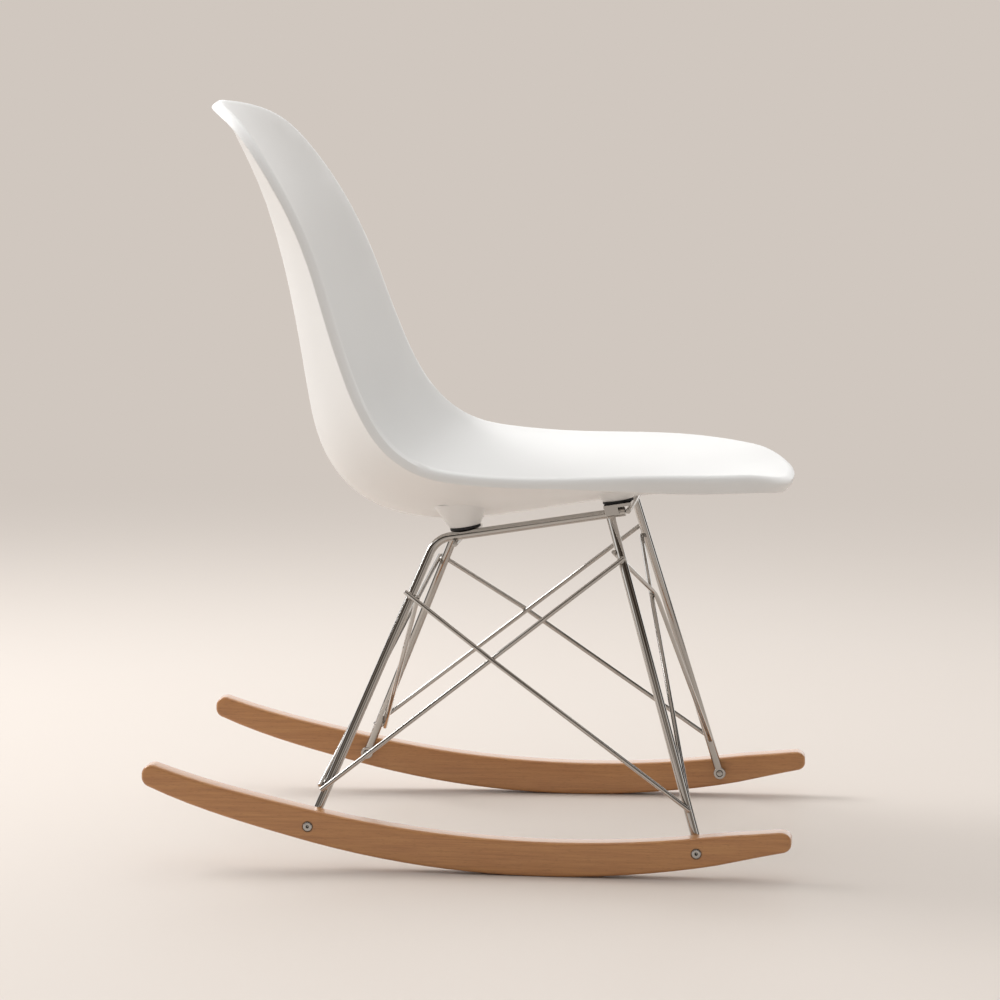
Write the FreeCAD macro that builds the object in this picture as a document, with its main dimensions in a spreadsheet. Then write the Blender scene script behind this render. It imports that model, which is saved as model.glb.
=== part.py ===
"""Moulded plastic rocking chair: a one-piece bucket seat on a bent wire base with two wooden rockers.

Frame: the chair faces -Y, the sitter's left is +X, +Z is up and the floor is z = 0.
The origin is on the floor, under the middle of the chair's box. All lengths are millimetres.
"""
import FreeCAD, Part
import math
import os
import Sketcher
from FreeCAD import Placement, Rotation, Vector

doc = FreeCAD.newDocument("rocking_chair")
sheet = doc.addObject("Spreadsheet::Sheet", "sizes")

# Driving dimensions: alias, value in millimetres or degrees, what it is
SIZES = [
    ("seat_wall", 4.5, "thickness of the moulded wall"),
    ("seat_width", 465.0, "widest outside width of the seat, at the side rims"),
    ("rim_roll", 7.0, "outside radius of the rolled rim"),
    ("rim_skirt_side", 3.5, "straight drop below the roll at the sides and the back"),
    ("rim_skirt_front", 9.5, "straight drop below the roll at the front edge"),
    ("rim_tuck_front", 16.0, "degrees that the front skirt leans back under the seat"),
    ("rim_tuck_top", 22.0, "degrees that the top rim rolls on past its quarter turn"),
    ("boss_top_radius", 27.0, "radius of a mounting boss, widened up to its reach"),
    ("insert_diameter", 9.0, "threaded insert, outside"),
    ("insert_length", 4.0, "threaded insert, length"),
    ("screw_shank", 6.0, "shank of the seat screws"),
    ("screw_hole_play", 0.6, "hole minus shank, on the diameter"),
    ("screw_head_diameter", 11.0, "head of the seat screws"),
    ("screw_head_height", 3.2, "head of the seat screws"),
    ("screw_head_top", 7.0, "flat end of the tapered head of a seat screw"),
    ("screw_end_short", 0.5, "end of a seat screw below the top of its insert"),
    ("insert_bore_play", 0.2, "insert bore minus shank, on the diameter"),
    ("washer_diameter", 13.0, "washer under a seat screw"),
    ("washer_thickness", 1.2, "washer under a seat screw"),
    ("mount_pad_diameter", 29.0, "rubber pad under the seat"),
    ("mount_pad_thickness", 2.5, "rubber pad under the seat"),
    ("mount_plate_thickness", 3.0, "steel plate on the side rod"),
    ("mount_plate_width", 31.0, "steel plate, across the chair"),
    ("mount_plate_length", 26.0, "steel plate, along the side rod"),
    ("plate_flange_height", 10.0, "turned-down flange of a front plate"),
    ("plate_flange_length", 12.5, "turned-down flange, along the side rod"),
    ("front_plate_rise", 1.0, "front plates above the side rods, carried by their flanges"),
    ("front_mount_back", 6.0, "front mounts behind the front end of the side rods"),
    ("mount_spacing", 144.5, "front mounts to rear mounts, along the chair"),
    ("rod_diameter", 8.5, "side rods and front legs"),
    ("cross_rod_diameter", 5.0, "rods that tie the two sides together"),
    ("brace_diameter", 4.5, "thin crossed braces"),
    ("side_rod_bend", 24.0, "bend radius of a side rod, on its axis"),
    ("brace_bend", 60.0, "bend radius of a brace, on its axis"),
    ("brace_overhang", 6.0, "brace end beyond the leg it is welded to"),
    ("weld_gap", 0.2, "gap left between parts that are welded side by side"),
    ("side_rod_front_x", 122.0, "side rod axis at its front end"),
    ("side_rod_front_y", -142.0, "front end of a side rod"),
    ("side_rod_front_z", 328.2, "side rod axis at its front end"),
    ("side_rod_bend_x", 116.0, "corner of a side rod axis"),
    ("side_rod_bend_y", 36.0, "corner of a side rod axis"),
    ("side_rod_bend_z", 299.5, "corner of a side rod axis"),
    ("front_leg_top_y", -130.0, "top of a front leg"),
    ("foot_bush_diameter", 12.0, "round bush at the foot of a leg"),
    ("foot_bush_length", 9.0, "round bush at the foot of a leg"),
    ("rocker_length", 603.0, "rocker, tip to tip along the floor"),
    ("rocker_thickness", 22.0, "rocker, across the chair"),
    ("rocker_height", 32.0, "rocker, where its upper edge is lowest"),
    ("rocker_front_height", 23.6, "rocker, at its front tip"),
    ("rocker_rear_height", 22.1, "rocker, at its rear tip"),
    ("rocker_sole_radius", 900.0, "curve that rolls on the floor"),
    ("rocker_contact_y", -73.0, "lowest point of the sole"),
    ("rocker_top_low_y", -88.0, "lowest point of the upper edge"),
    ("rocker_tip_round", 9.5, "rounding of the tip corners"),
    ("rocker_edge_round", 3.0, "rounding of the long edges"),
    ("rocker_spacing", 396.0, "between the middles of the two rockers, at y = 0"),
    ("rocker_toe_out", 1.5, "degrees that each rocker turns outwards to the front"),
    ("cross_rod_play", 1.0, "rear cross rod behind the washers of the rear mounts"),
    ("rear_bolt_y", 144.8, "rear rocker bolt"),
    ("rear_bolt_z", 41.0, "rear rocker bolt"),
    ("front_bolt_y", -215.2, "front rocker bolt"),
    ("front_bolt_z", 25.4, "front rocker bolt"),
    ("bolt_shank", 6.0, "rocker bolt"),
    ("bolt_hole_play", 0.6, "hole minus shank, on the diameter"),
    ("bolt_head_diameter", 12.0, "tapered head of a rocker bolt"),
    ("bolt_head_height", 4.0, "tapered head of a rocker bolt"),
    ("bolt_head_top", 7.5, "flat end of the tapered head of a rocker bolt"),
    ("counterbore_diameter", 13.4, "recess for the bolt head"),
    ("counterbore_depth", 2.0, "recess for the bolt head"),
]
for row, (alias, value, note) in enumerate(SIZES, start=1):
    sheet.set(f"A{row}", alias)
    sheet.set(f"B{row}", str(value))
    sheet.set(f"C{row}", note)
    sheet.setAlias(f"B{row}", alias)
doc.recompute()

SIDES = {"left": 1, "right": -1}
X_AXIS = Vector(1, 0, 0)
Y_AXIS = Vector(0, 1, 0)
Z_AXIS = Vector(0, 0, 1)
# Radius that a sketched circle is drawn with before the sheet sets it
DRAWN_RADIUS = 1.0
# Lengths closer than this count as equal when the edges of a piece are picked
SAME_LENGTH = 0.01
nodes = []


def size(alias):
    """Value of one driving dimension."""
    return float(sheet.get(alias))


def node(piece, label):
    """Name a finished sub-part after its node."""
    piece.Label = label
    nodes.append(piece)
    return piece


def turned(x_direction, z_hint):
    """Rotation whose X axis is x_direction and whose Z axis is as near z_hint as can be."""
    return Rotation(x_direction, Vector(0, 0, 0), z_hint, "XZY")


def origin_plane(body, role):
    """One of a body's own origin planes."""
    return next(plane for plane in body.Origin.OriginFeatures if plane.Role == role)


def sketch_on(body, name, role, offset=0.0):
    """Empty sketch on an origin plane of a body, moved along the plane's normal."""
    sketch = body.newObject("Sketcher::SketchObject", name)
    sketch.AttachmentSupport = (origin_plane(body, role), "")
    sketch.MapMode = "FlatFace"
    sketch.AttachmentOffset = Placement(Vector(0, 0, offset), Rotation())
    return sketch


def circle_sketch(body, name, role, centre, diameter_expression, offset=0.0):
    """Sketch of one circle whose diameter follows the sheet."""
    sketch = sketch_on(body, name, role, offset)
    sketch.addGeometry(Part.Circle(Vector(*centre, 0), Z_AXIS, DRAWN_RADIUS))
    sketch.addConstraint(Sketcher.Constraint("Diameter", 0, 2 * DRAWN_RADIUS))
    sketch.setExpression("Constraints[0]", diameter_expression)
    return sketch


def straight_rod(label, start, end, diameter_alias):
    """Round rod from start to end."""
    rod = doc.addObject("Part::Cylinder", label)
    rod.setExpression("Radius", f"sizes.{diameter_alias} / 2")
    rod.Height = (end - start).Length
    rod.Placement = Placement(start, Rotation(Z_AXIS, end - start))
    return rod


def bent_rod(label, start, corner, end, diameter_alias, bend_alias):
    """Round rod with one bend at corner, swept along a sketched line, arc and line."""
    along = (corner - start).normalize()
    onward = (end - corner).normalize()
    normal = along.cross(onward).normalize()
    bend = size(bend_alias)
    turn = along.getAngle(onward)
    setback = bend * math.tan(turn / 2)
    first = (corner - start).Length
    last = (end - corner).Length
    body = doc.addObject("PartDesign::Body", label)
    body.Placement = Placement(start, turned(along, normal))
    path = sketch_on(body, f"{label}_path", "XY_Plane")
    bend_start = Vector(first - setback, 0, 0)
    bend_centre = Vector(first - setback, bend, 0)
    bend_end = bend_centre + Vector(math.sin(turn), -math.cos(turn), 0) * bend
    path_end = bend_end + Vector(math.cos(turn), math.sin(turn), 0) * (last - setback)
    quarter = math.pi / 2
    path.addGeometry(Part.LineSegment(Vector(0, 0, 0), bend_start))
    path.addGeometry(Part.ArcOfCircle(Part.Circle(bend_centre, Z_AXIS, bend), -quarter, turn - quarter))
    path.addGeometry(Part.LineSegment(bend_end, path_end))
    profile = circle_sketch(body, f"{label}_section", "YZ_Plane", (0, 0), f"sizes.{diameter_alias}")
    doc.recompute()
    sweep = body.newObject("PartDesign::AdditivePipe", f"{label}_sweep")
    sweep.Profile = profile
    sweep.Spine = (path, ["Edge1", "Edge2", "Edge3"])
    return body


# Places that several pieces share
rod_radius = size("rod_diameter") / 2
brace_radius = size("brace_diameter") / 2
toe_out = math.radians(size("rocker_toe_out"))
rail_front = Vector(size("side_rod_front_x"), size("side_rod_front_y"), size("side_rod_front_z"))
rail_corner = Vector(size("side_rod_bend_x"), size("side_rod_bend_y"), size("side_rod_bend_z"))
rail_direction = (rail_corner - rail_front).normalize()
rail_slope = Vector(0, rail_direction.y, rail_direction.z).normalize()
rail_normal = X_AXIS.cross(rail_slope)


def mirrored(point, side):
    """A point of the left side, carried to the named side."""
    return Vector(point.x * side, point.y, point.z)


def rocker_axis(side):
    """Direction across a rocker, pointing away from the chair."""
    return Vector(side * math.cos(toe_out), math.sin(toe_out), 0)


def rocker_middle(side, y, z):
    """Point on the middle plane of a rocker."""
    along = Vector(side * math.sin(toe_out), -math.cos(toe_out), 0)
    start = Vector(side * size("rocker_spacing") / 2, 0, 0)
    reach = -y / math.cos(toe_out)
    return start + along * reach + Vector(0, 0, z)


def bolt_point(side, end):
    """Where a rocker bolt crosses the middle plane of its rocker."""
    return rocker_middle(side, size(f"{end}_bolt_y"), size(f"{end}_bolt_z"))


def bush_middle(side, end):
    """Middle of the bush that stands against the inner face of a rocker."""
    inwards = size("rocker_thickness") / 2 + size("foot_bush_length") / 2
    return bolt_point(side, end) - rocker_axis(side) * inwards


def rail_point(y):
    """Point on the straight front run of the left side rod."""
    return rail_front + rail_direction * ((y - rail_front.y) / rail_direction.y)


def mount_y(end):
    """Position of the front or rear seat mounts along the chair."""
    front = size("side_rod_front_y") + size("front_mount_back")
    return front if end == "front" else front + size("mount_spacing")


def plate_bottom(end):
    """Height of a mount plate's underside above the axis of the side rod.

    A front plate lies over the rod. A rear one lies beside it, level with its top.
    """
    rod_top = rod_radius + size("weld_gap")
    return rod_top + size("front_plate_rise") if end == "front" else rod_top - size("mount_plate_thickness")


def mount_base(side, end):
    """Middle of a mount plate's underside, far enough inside the rod for a washer to pass it."""
    beside = size("washer_diameter") / 2 + rod_radius + 2 * size("weld_gap")
    point = rail_point(mount_y(end)) - X_AXIS * beside + rail_normal * plate_bottom(end)
    return mirrored(point, side)


MOUNTS = [(side_name, end) for end in ("front", "rear") for side_name in SIDES]


# Seat shell
# The spine is the middle line of the seat: in from the front edge, over the pan and up the back (y, z)
SPINE = [
    (-287, 355), (-200, 342), (-110, 332), (-20, 317), (46, 312), (100, 323),
    (136, 347), (158, 388), (171, 450), (187, 537), (210, 621), (246, 703),
]
# The crest of the rim on the left side, from the middle of the front edge to the middle of the
# top edge: x, y, z, and the length along the spine that lies level with it
RIM = [
    (0, -287, 355, 0), (62, -283, 356.5, 4), (122, -262, 363.5, 25), (182, -203, 369.5, 84),
    (218, -80, 369.5, 212), (226, 20, 377, 325), (208, 78, 414, 440), (184, 118, 500, 570),
    (162, 156, 598, 690), (148, 186, 649, 744), (120, 212, 683.5, 785), (72, 233, 699, 805),
    (0, 246, 703, 812),
]
RIM_REACH = max(x for x, y, z, level in RIM)
RIM_STATIONS = 80
SEAT_CENTRE = 290
# How the seat rises from its middle line to the rim
RISE_SOFTNESS = 0.375
RISE_FROM_X = 100
# Grid that the wall surfaces pass through, and how far they run past the rim
WALL_COLUMNS = 9
WALL_ROWS = 15
WALL_MARGIN = 6
ROLL_STEPS = 3
# Where the skirt deepens to the front, and where the rim tucks in at the top
FRONT_SKIRT_Y = (-60, -210)
TOP_TUCK_Z = (650, 700)
BOSS_REACH = 24


def spline(points, closed=False, parameters=None):
    """Curve through points."""
    curve = Part.BSplineCurve()
    if parameters:
        curve.interpolate(Points=points, PeriodicFlag=closed, Parameters=parameters)
    else:
        curve.interpolate(Points=points, PeriodicFlag=closed)
    return curve


spine = spline([Vector(0, y, z) for y, z in SPINE])
spine_length = spine.length()


def on_spine(length):
    """Point and direction of the spine at a length from its front end, run on straight past its ends."""
    inside = min(max(length, 0), spine_length)
    place = spine.parameterAtDistance(inside) if inside else spine.FirstParameter
    direction = spine.tangent(place)[0]
    return spine.value(place) + direction * (length - inside), direction


def rise_share(reach):
    """How much of the rise the seat has reached: flat in the middle, nearly straight at the rim."""
    return (1 + RISE_SOFTNESS) * reach ** 2 / (1 + RISE_SOFTNESS * reach ** 2)


def rise_curve():
    """How far the seat rises at full reach, along the spine, so that it runs into the roll of the rim."""
    roll = size("rim_roll")
    points = []
    for x, y, z, level in RIM:
        if x > RISE_FROM_X:
            middle, direction = on_spine(level)
            rise = Vector(0, y, z) - middle
            slope = math.atan(2 * rise.Length / (x * (1 + RISE_SOFTNESS * (x / RIM_REACH) ** 2)))
            rise = rise * (1 - roll * (1 - math.cos(slope)) / rise.Length)
            start = (x - roll * math.sin(slope)) / RIM_REACH
            points.append(rise * (1 / rise_share(start)) + X_AXIS * level)
    return spline(points, False, [point.x for point in points]), points[0].x, points[-1].x


rise_along, rise_first, rise_last = rise_curve()


def seat_point(x, level):
    """Point of the seat's upper skin."""
    middle, direction = on_spine(level)
    rise = rise_along.value(min(max(level, rise_first), rise_last))
    return middle + X_AXIS * x + Vector(0, rise.y, rise.z) * rise_share(abs(x) / RIM_REACH)


def upper_wall():
    """Surface of the seat's upper skin, a little larger than the seat."""
    half = RIM_REACH + WALL_MARGIN
    grid = []
    for column in range(WALL_COLUMNS):
        x = half * (2 * column / (WALL_COLUMNS - 1) - 1)
        levels = [
            (spine_length + 2 * WALL_MARGIN) * row / (WALL_ROWS - 1) - WALL_MARGIN for row in range(WALL_ROWS)
        ]
        grid.append([seat_point(x, level) for level in levels])
    surface = Part.BSplineSurface()
    surface.interpolate(grid)
    return surface


def lower_wall(upper):
    """Surface of the underside, one wall thickness below the upper skin."""
    first_u, last_u, first_v, last_v = upper.bounds()
    grid = []
    for column in range(WALL_COLUMNS):
        u = first_u + (last_u - first_u) * column / (WALL_COLUMNS - 1)
        grid.append([])
        for row in range(2 * WALL_ROWS - 1):
            v = first_v + (last_v - first_v) * row / (2 * WALL_ROWS - 2)
            grid[-1].append(upper.value(u, v) - sitter_normal(upper, u, v) * size("seat_wall"))
    surface = Part.BSplineSurface()
    surface.interpolate(grid)
    return surface


def sitter_normal(surface, u, v):
    """Normal of a wall surface that points to the sitter."""
    first_u, last_u, first_v, last_v = surface.bounds()
    in_the_pan = surface.normal((first_u + last_u) / 2, first_v + (last_v - first_v) / 3)
    return surface.normal(u, v) * (1 if in_the_pan.z > 0 else -1)


def rim_crest():
    """Evenly spaced points of the rim's crest, all the way round, each with its spine length."""
    widen = (size("seat_width") / 2 - size("rim_roll")) / RIM_REACH
    left = [Vector(x * widen, y, z) for x, y, z, length in RIM]
    lengths = [Vector(length, 0, 0) for x, y, z, length in RIM]
    loop = left + [mirrored(point, -1) for point in left[-2:0:-1]]
    loop_lengths = lengths + lengths[-2:0:-1]
    parameters = [0.0]
    for point, following in zip(loop, loop[1:] + loop[:1]):
        parameters.append(parameters[-1] + (following - point).Length)
    crest = spline(loop, True, parameters)
    level = spline(loop_lengths, True, parameters)
    spacing = crest.length() / RIM_STATIONS
    half = [(loop[0], 0.0)]
    for step in range(1, RIM_STATIONS // 2 + 1):
        place = crest.parameterAtDistance(spacing * step)
        half.append((crest.value(place), level.value(place).x))
    return half + [(mirrored(point, -1), length) for point, length in half[-2:0:-1]]


def blend(value, span):
    """Smooth step from 0 to 1 as a value goes from the first to the second end of a span."""
    share = min(max((value - span[0]) / (span[1] - span[0]), 0), 1)
    return share * share * (3 - 2 * share)


class RimStation:
    """One place on the rim: where the wall ends, and the frame that the rolled edge turns in."""

    def __init__(self, wall, before, here, after):
        roll = size("rim_roll")
        crest, level = here
        around = (after[0] - before[0]).normalize()
        middle, direction = on_spine(level)
        across = direction * (level - SEAT_CENTRE) + X_AXIS * crest.x
        outwards = (across - around * across.dot(around)).normalize()
        upwards = outwards.cross(around)
        lean = upwards.getAngle(sitter_normal(wall, *wall.parameter(crest)))
        guess = crest - outwards * (roll * math.sin(lean)) - upwards * (roll * (1 - math.cos(lean)))
        self.place = wall.parameter(guess)
        self.start = wall.value(*self.place)
        self.normal = sitter_normal(wall, *self.place)
        self.tangent = around.cross(self.normal).normalize()
        if self.tangent.dot(outwards) < 0:
            self.tangent = self.tangent * -1
        self.to_front = blend(crest.y, FRONT_SKIRT_Y)
        tuck = size("rim_tuck_front") * self.to_front + size("rim_tuck_top") * blend(crest.z, TOP_TUCK_Z)
        self.turn = math.pi / 2 + upwards.getAngle(self.normal) + math.radians(tuck)

    def roll_point(self, share, depth):
        """Point of the rolled edge at a share of its turn, at a depth below the skin."""
        angle = self.turn * share
        spoke = self.normal * math.cos(angle) + self.tangent * math.sin(angle)
        return self.start - self.normal * size("rim_roll") + spoke * (size("rim_roll") - depth)

    def skirt_point(self, depth):
        """Lower end of the straight skirt below the roll."""
        drop = size("rim_skirt_side") + (size("rim_skirt_front") - size("rim_skirt_side")) * self.to_front
        down = self.tangent * math.cos(self.turn) - self.normal * math.sin(self.turn)
        return self.roll_point(1, depth) + down * drop


def ring(points):
    """Closed curve round the seat through one point of each station."""
    return spline(points, True, [float(index) for index in range(len(points) + 1)])


def band(inner, outer):
    """Face between two rings."""
    poles = [[first, second] for first, second in zip(inner.getPoles(), outer.getPoles())]
    surface = Part.BSplineSurface()
    surface.buildFromPolesMultsKnots(
        poles, outer.getMultiplicities(), [2, 2], outer.getKnots(), [0.0, 1.0], True, False, 3, 1
    )
    return surface.toShape()


def trimmed(wall, edge):
    """The part of a wall surface inside a ring that lies on it."""
    face = Part.Face(wall, Part.Wire([edge.toShape()]))
    face.validate()
    return face


def seat_skin(stations, wall, depth):
    """Faces of one skin of the seat, and its outermost ring."""
    places = [wall.parameter(station.start - station.normal * depth) for station in stations]
    rings = [ring([wall.value(*place) for place in places])]
    for step in range(1, ROLL_STEPS + 1):
        rings.append(ring([station.roll_point(step / ROLL_STEPS, depth) for station in stations]))
    rings.append(ring([station.skirt_point(depth) for station in stations]))
    faces = [trimmed(wall, rings[0])]
    faces += [band(inner, outer) for inner, outer in zip(rings, rings[1:])]
    return faces, rings[-1]


def seat_boss(side, end, shell):
    """Tapered boss under the seat, from the top of a rubber pad up to the shell."""
    stack = size("mount_plate_thickness") + size("mount_pad_thickness")
    foot = mount_base(side, end) + rail_normal * stack
    foot_radius = size("mount_pad_diameter") / 2
    cone = Part.makeCone(foot_radius, size("boss_top_radius"), BOSS_REACH, foot, rail_normal)
    below = min(cone.cut(shell).Solids, key=lambda solid: solid.CenterOfMass.z)
    bore = Part.makeCylinder(size("insert_diameter") / 2, size("insert_length"), foot, rail_normal)
    return below, bore


def seat_shape():
    """The whole moulded seat: two skins, the edge between them, four bosses and their bores."""
    crest = rim_crest()
    wall = upper_wall()
    stations = [
        RimStation(wall, crest[index - 1], crest[index], crest[(index + 1) % RIM_STATIONS])
        for index in range(RIM_STATIONS)
    ]
    upper, upper_edge = seat_skin(stations, wall, 0)
    lower, lower_edge = seat_skin(stations, lower_wall(wall), size("seat_wall"))
    shell = Part.makeShell(upper + lower + [band(upper_edge, lower_edge)])
    shell.sewShape()
    solid = Part.makeSolid(shell)
    if solid.Volume < 0:
        solid.reverse()
    bosses = [seat_boss(SIDES[side_name], end, solid) for side_name, end in MOUNTS]
    solid = solid.fuse([boss for boss, bore in bosses])
    return solid.cut([bore for boss, bore in bosses])


seat = node(doc.addObject("Part::Feature", "seat_shell"), "seat_shell")
seat.Shape = seat_shape()


# Rods
def bush_clearance(name, side, end):
    """Round space round a foot bush, which the end of a leg is coped to."""
    space = doc.addObject("Part::Cylinder", name)
    space.setExpression("Radius", "sizes.foot_bush_diameter / 2 + sizes.weld_gap")
    space.setExpression("Height", "3 * sizes.foot_bush_length")
    start = bush_middle(side, end) - rocker_axis(side) * (1.5 * size("foot_bush_length"))
    space.Placement = Placement(start, Rotation(Z_AXIS, rocker_axis(side)))
    return space


def coped(label, rod, space):
    """A rod with its lower end shaped to the bush that it is welded to."""
    cut = doc.addObject("Part::Cut", label)
    cut.Base = rod
    cut.Tool = space
    return cut


def flange_bottom():
    """Lower edge of a front plate's flange, above the middle of the front leg."""
    plate = rail_point(size("front_leg_top_y")) + rail_normal * plate_bottom("front")
    return plate.z - size("plate_flange_height")


def front_leg_ends(side):
    """Axis ends of a front leg: under the plate's flange, and in the middle of its foot bush."""
    beside = X_AXIS * (2 * rod_radius + size("weld_gap"))
    top = mirrored(rail_point(size("front_leg_top_y")) + beside, side)
    foot = bush_middle(side, "front")
    top.z = flange_bottom() - size("weld_gap")
    lean = (top - foot).getAngle(Z_AXIS)
    top.z -= rod_radius * math.sin(lean)
    return top, foot


def rear_leg_ends(side):
    """Axis ends of a rear leg: the corner of the side rod, and the middle of its foot bush."""
    return mirrored(rail_corner, side), bush_middle(side, "rear")


for side_name, side in SIDES.items():
    corner, foot = rear_leg_ends(side)
    rod = bent_rod(
        f"side_rod_{side_name}_bar", mirrored(rail_front, side), corner, foot, "rod_diameter", "side_rod_bend"
    )
    space = bush_clearance(f"rear_cope_{side_name}", side, "rear")
    node(coped(f"side_rod_{side_name}", rod, space), f"side_rod_{side_name}")
    top, foot = front_leg_ends(side)
    leg = straight_rod(f"front_leg_{side_name}_bar", top, foot, "rod_diameter")
    space = bush_clearance(f"front_cope_{side_name}", side, "front")
    node(coped(f"front_leg_{side_name}", leg, space), f"front_leg_{side_name}")
    for end in ("front", "rear"):
        label = f"{end}_foot_bush_{side_name}"
        ring_solid = doc.addObject("Part::Cylinder", f"{label}_ring")
        ring_solid.setExpression("Radius", "sizes.foot_bush_diameter / 2")
        ring_solid.setExpression("Height", "sizes.foot_bush_length")
        bore = doc.addObject("Part::Cylinder", f"{label}_bore")
        bore.setExpression("Radius", "(sizes.bolt_shank + sizes.bolt_hole_play) / 2")
        bore.setExpression("Height", "sizes.foot_bush_length")
        bush = doc.addObject("Part::Cut", label)
        bush.Base = ring_solid
        bush.Tool = bore
        start = bush_middle(side, end) - rocker_axis(side) * (size("foot_bush_length") / 2)
        bush.Placement = Placement(start, Rotation(Z_AXIS, rocker_axis(side)))
        node(bush, label)

cross_radius = size("cross_rod_diameter") / 2
cross_end = X_AXIS * (size("side_rod_front_x") + rod_radius / 2)
front_cross = rail_front - rail_direction * (cross_radius + size("weld_gap"))
front_cross.x = 0
node(straight_rod("front_cross_rod", front_cross - cross_end, front_cross + cross_end, "cross_rod_diameter"),
     "front_cross_rod")
rear_cross_y = mount_y("rear") + size("washer_diameter") / 2 + cross_radius + size("cross_rod_play")
rear_cross = rail_point(rear_cross_y) - rail_normal * (rod_radius + cross_radius + size("weld_gap"))
rear_cross.x = 0
node(straight_rod("rear_cross_rod", rear_cross - cross_end, rear_cross + cross_end, "cross_rod_diameter"),
     "rear_cross_rod")


# Braces
BRACE_HEIGHTS = {
    "side_brace_inner": {"rear": 246.6, "front": 60.8},
    "side_brace_outer": {"rear": 76.1, "front": 284.4},
    "front_brace": {"upper": 277.0, "lower": 64.0, "crossing": 233.5},
    "rear_brace": {"upper": 246.0, "lower": 74.0},
}


def leg_line(side, end):
    """Axis ends of a leg."""
    return front_leg_ends(side) if end == "front" else rear_leg_ends(side)


def on_leg(side, end, height):
    """Point of a leg's axis at a height."""
    top, foot = leg_line(side, end)
    return top + (foot - top) * ((top.z - height) / (top.z - foot.z))


def weld_offset(side, end, direction, towards):
    """From a leg's axis to the axis of a brace that is welded to the leg's side."""
    top, foot = leg_line(side, end)
    offset = (foot - top).cross(direction).normalize()
    if offset.dot(towards) < 0:
        offset = offset * -1
    return offset * (rod_radius + brace_radius + size("weld_gap"))


def straight_brace(label, first, last, towards):
    """Brace between two legs; first and last are (side, end, height, towards)."""
    start = on_leg(*first)
    stop = on_leg(*last)
    direction = (stop - start).normalize()
    start = start + weld_offset(first[0], first[1], direction, towards)
    stop = stop + weld_offset(last[0], last[1], direction, towards)
    overhang = (stop - start).normalize() * size("brace_overhang")
    return node(straight_rod(label, start - overhang, stop + overhang, "brace_diameter"), label)


for side_name, side in SIDES.items():
    outside = X_AXIS * side
    heights = BRACE_HEIGHTS["side_brace_inner"]
    straight_brace(f"side_brace_inner_{side_name}", (side, "rear", heights["rear"]),
                   (side, "front", heights["front"]), outside * -1)
    heights = BRACE_HEIGHTS["side_brace_outer"]
    straight_brace(f"side_brace_outer_{side_name}", (side, "front", heights["front"]),
                   (side, "rear", heights["rear"]), outside)
    heights = BRACE_HEIGHTS["rear_brace"]
    straight_brace(f"rear_brace_{side_name}", (side, "rear", heights["upper"]),
                   (-side, "rear", heights["lower"]), Y_AXIS * side)

    heights = BRACE_HEIGHTS["front_brace"]
    upper = on_leg(side, "front", heights["upper"])
    lower = on_leg(-side, "front", heights["lower"])
    kink = on_leg(side, "front", heights["crossing"])
    kink.x = 0
    stand_off = rod_radius + brace_radius + size("weld_gap")
    kink.y -= stand_off + side * (brace_radius + size("weld_gap") / 2)
    first_run = (kink - upper).normalize()
    last_run = (lower - kink).normalize()
    upper = upper + weld_offset(side, "front", first_run, Y_AXIS * -1)
    lower = lower + weld_offset(-side, "front", last_run, Y_AXIS * -1)
    upper = upper - (kink - upper).normalize() * size("brace_overhang")
    lower = lower + (lower - kink).normalize() * size("brace_overhang")
    label = f"front_brace_{side_name}"
    node(bent_rod(label, upper, kink, lower, "brace_diameter", "brace_bend"), label)


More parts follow.
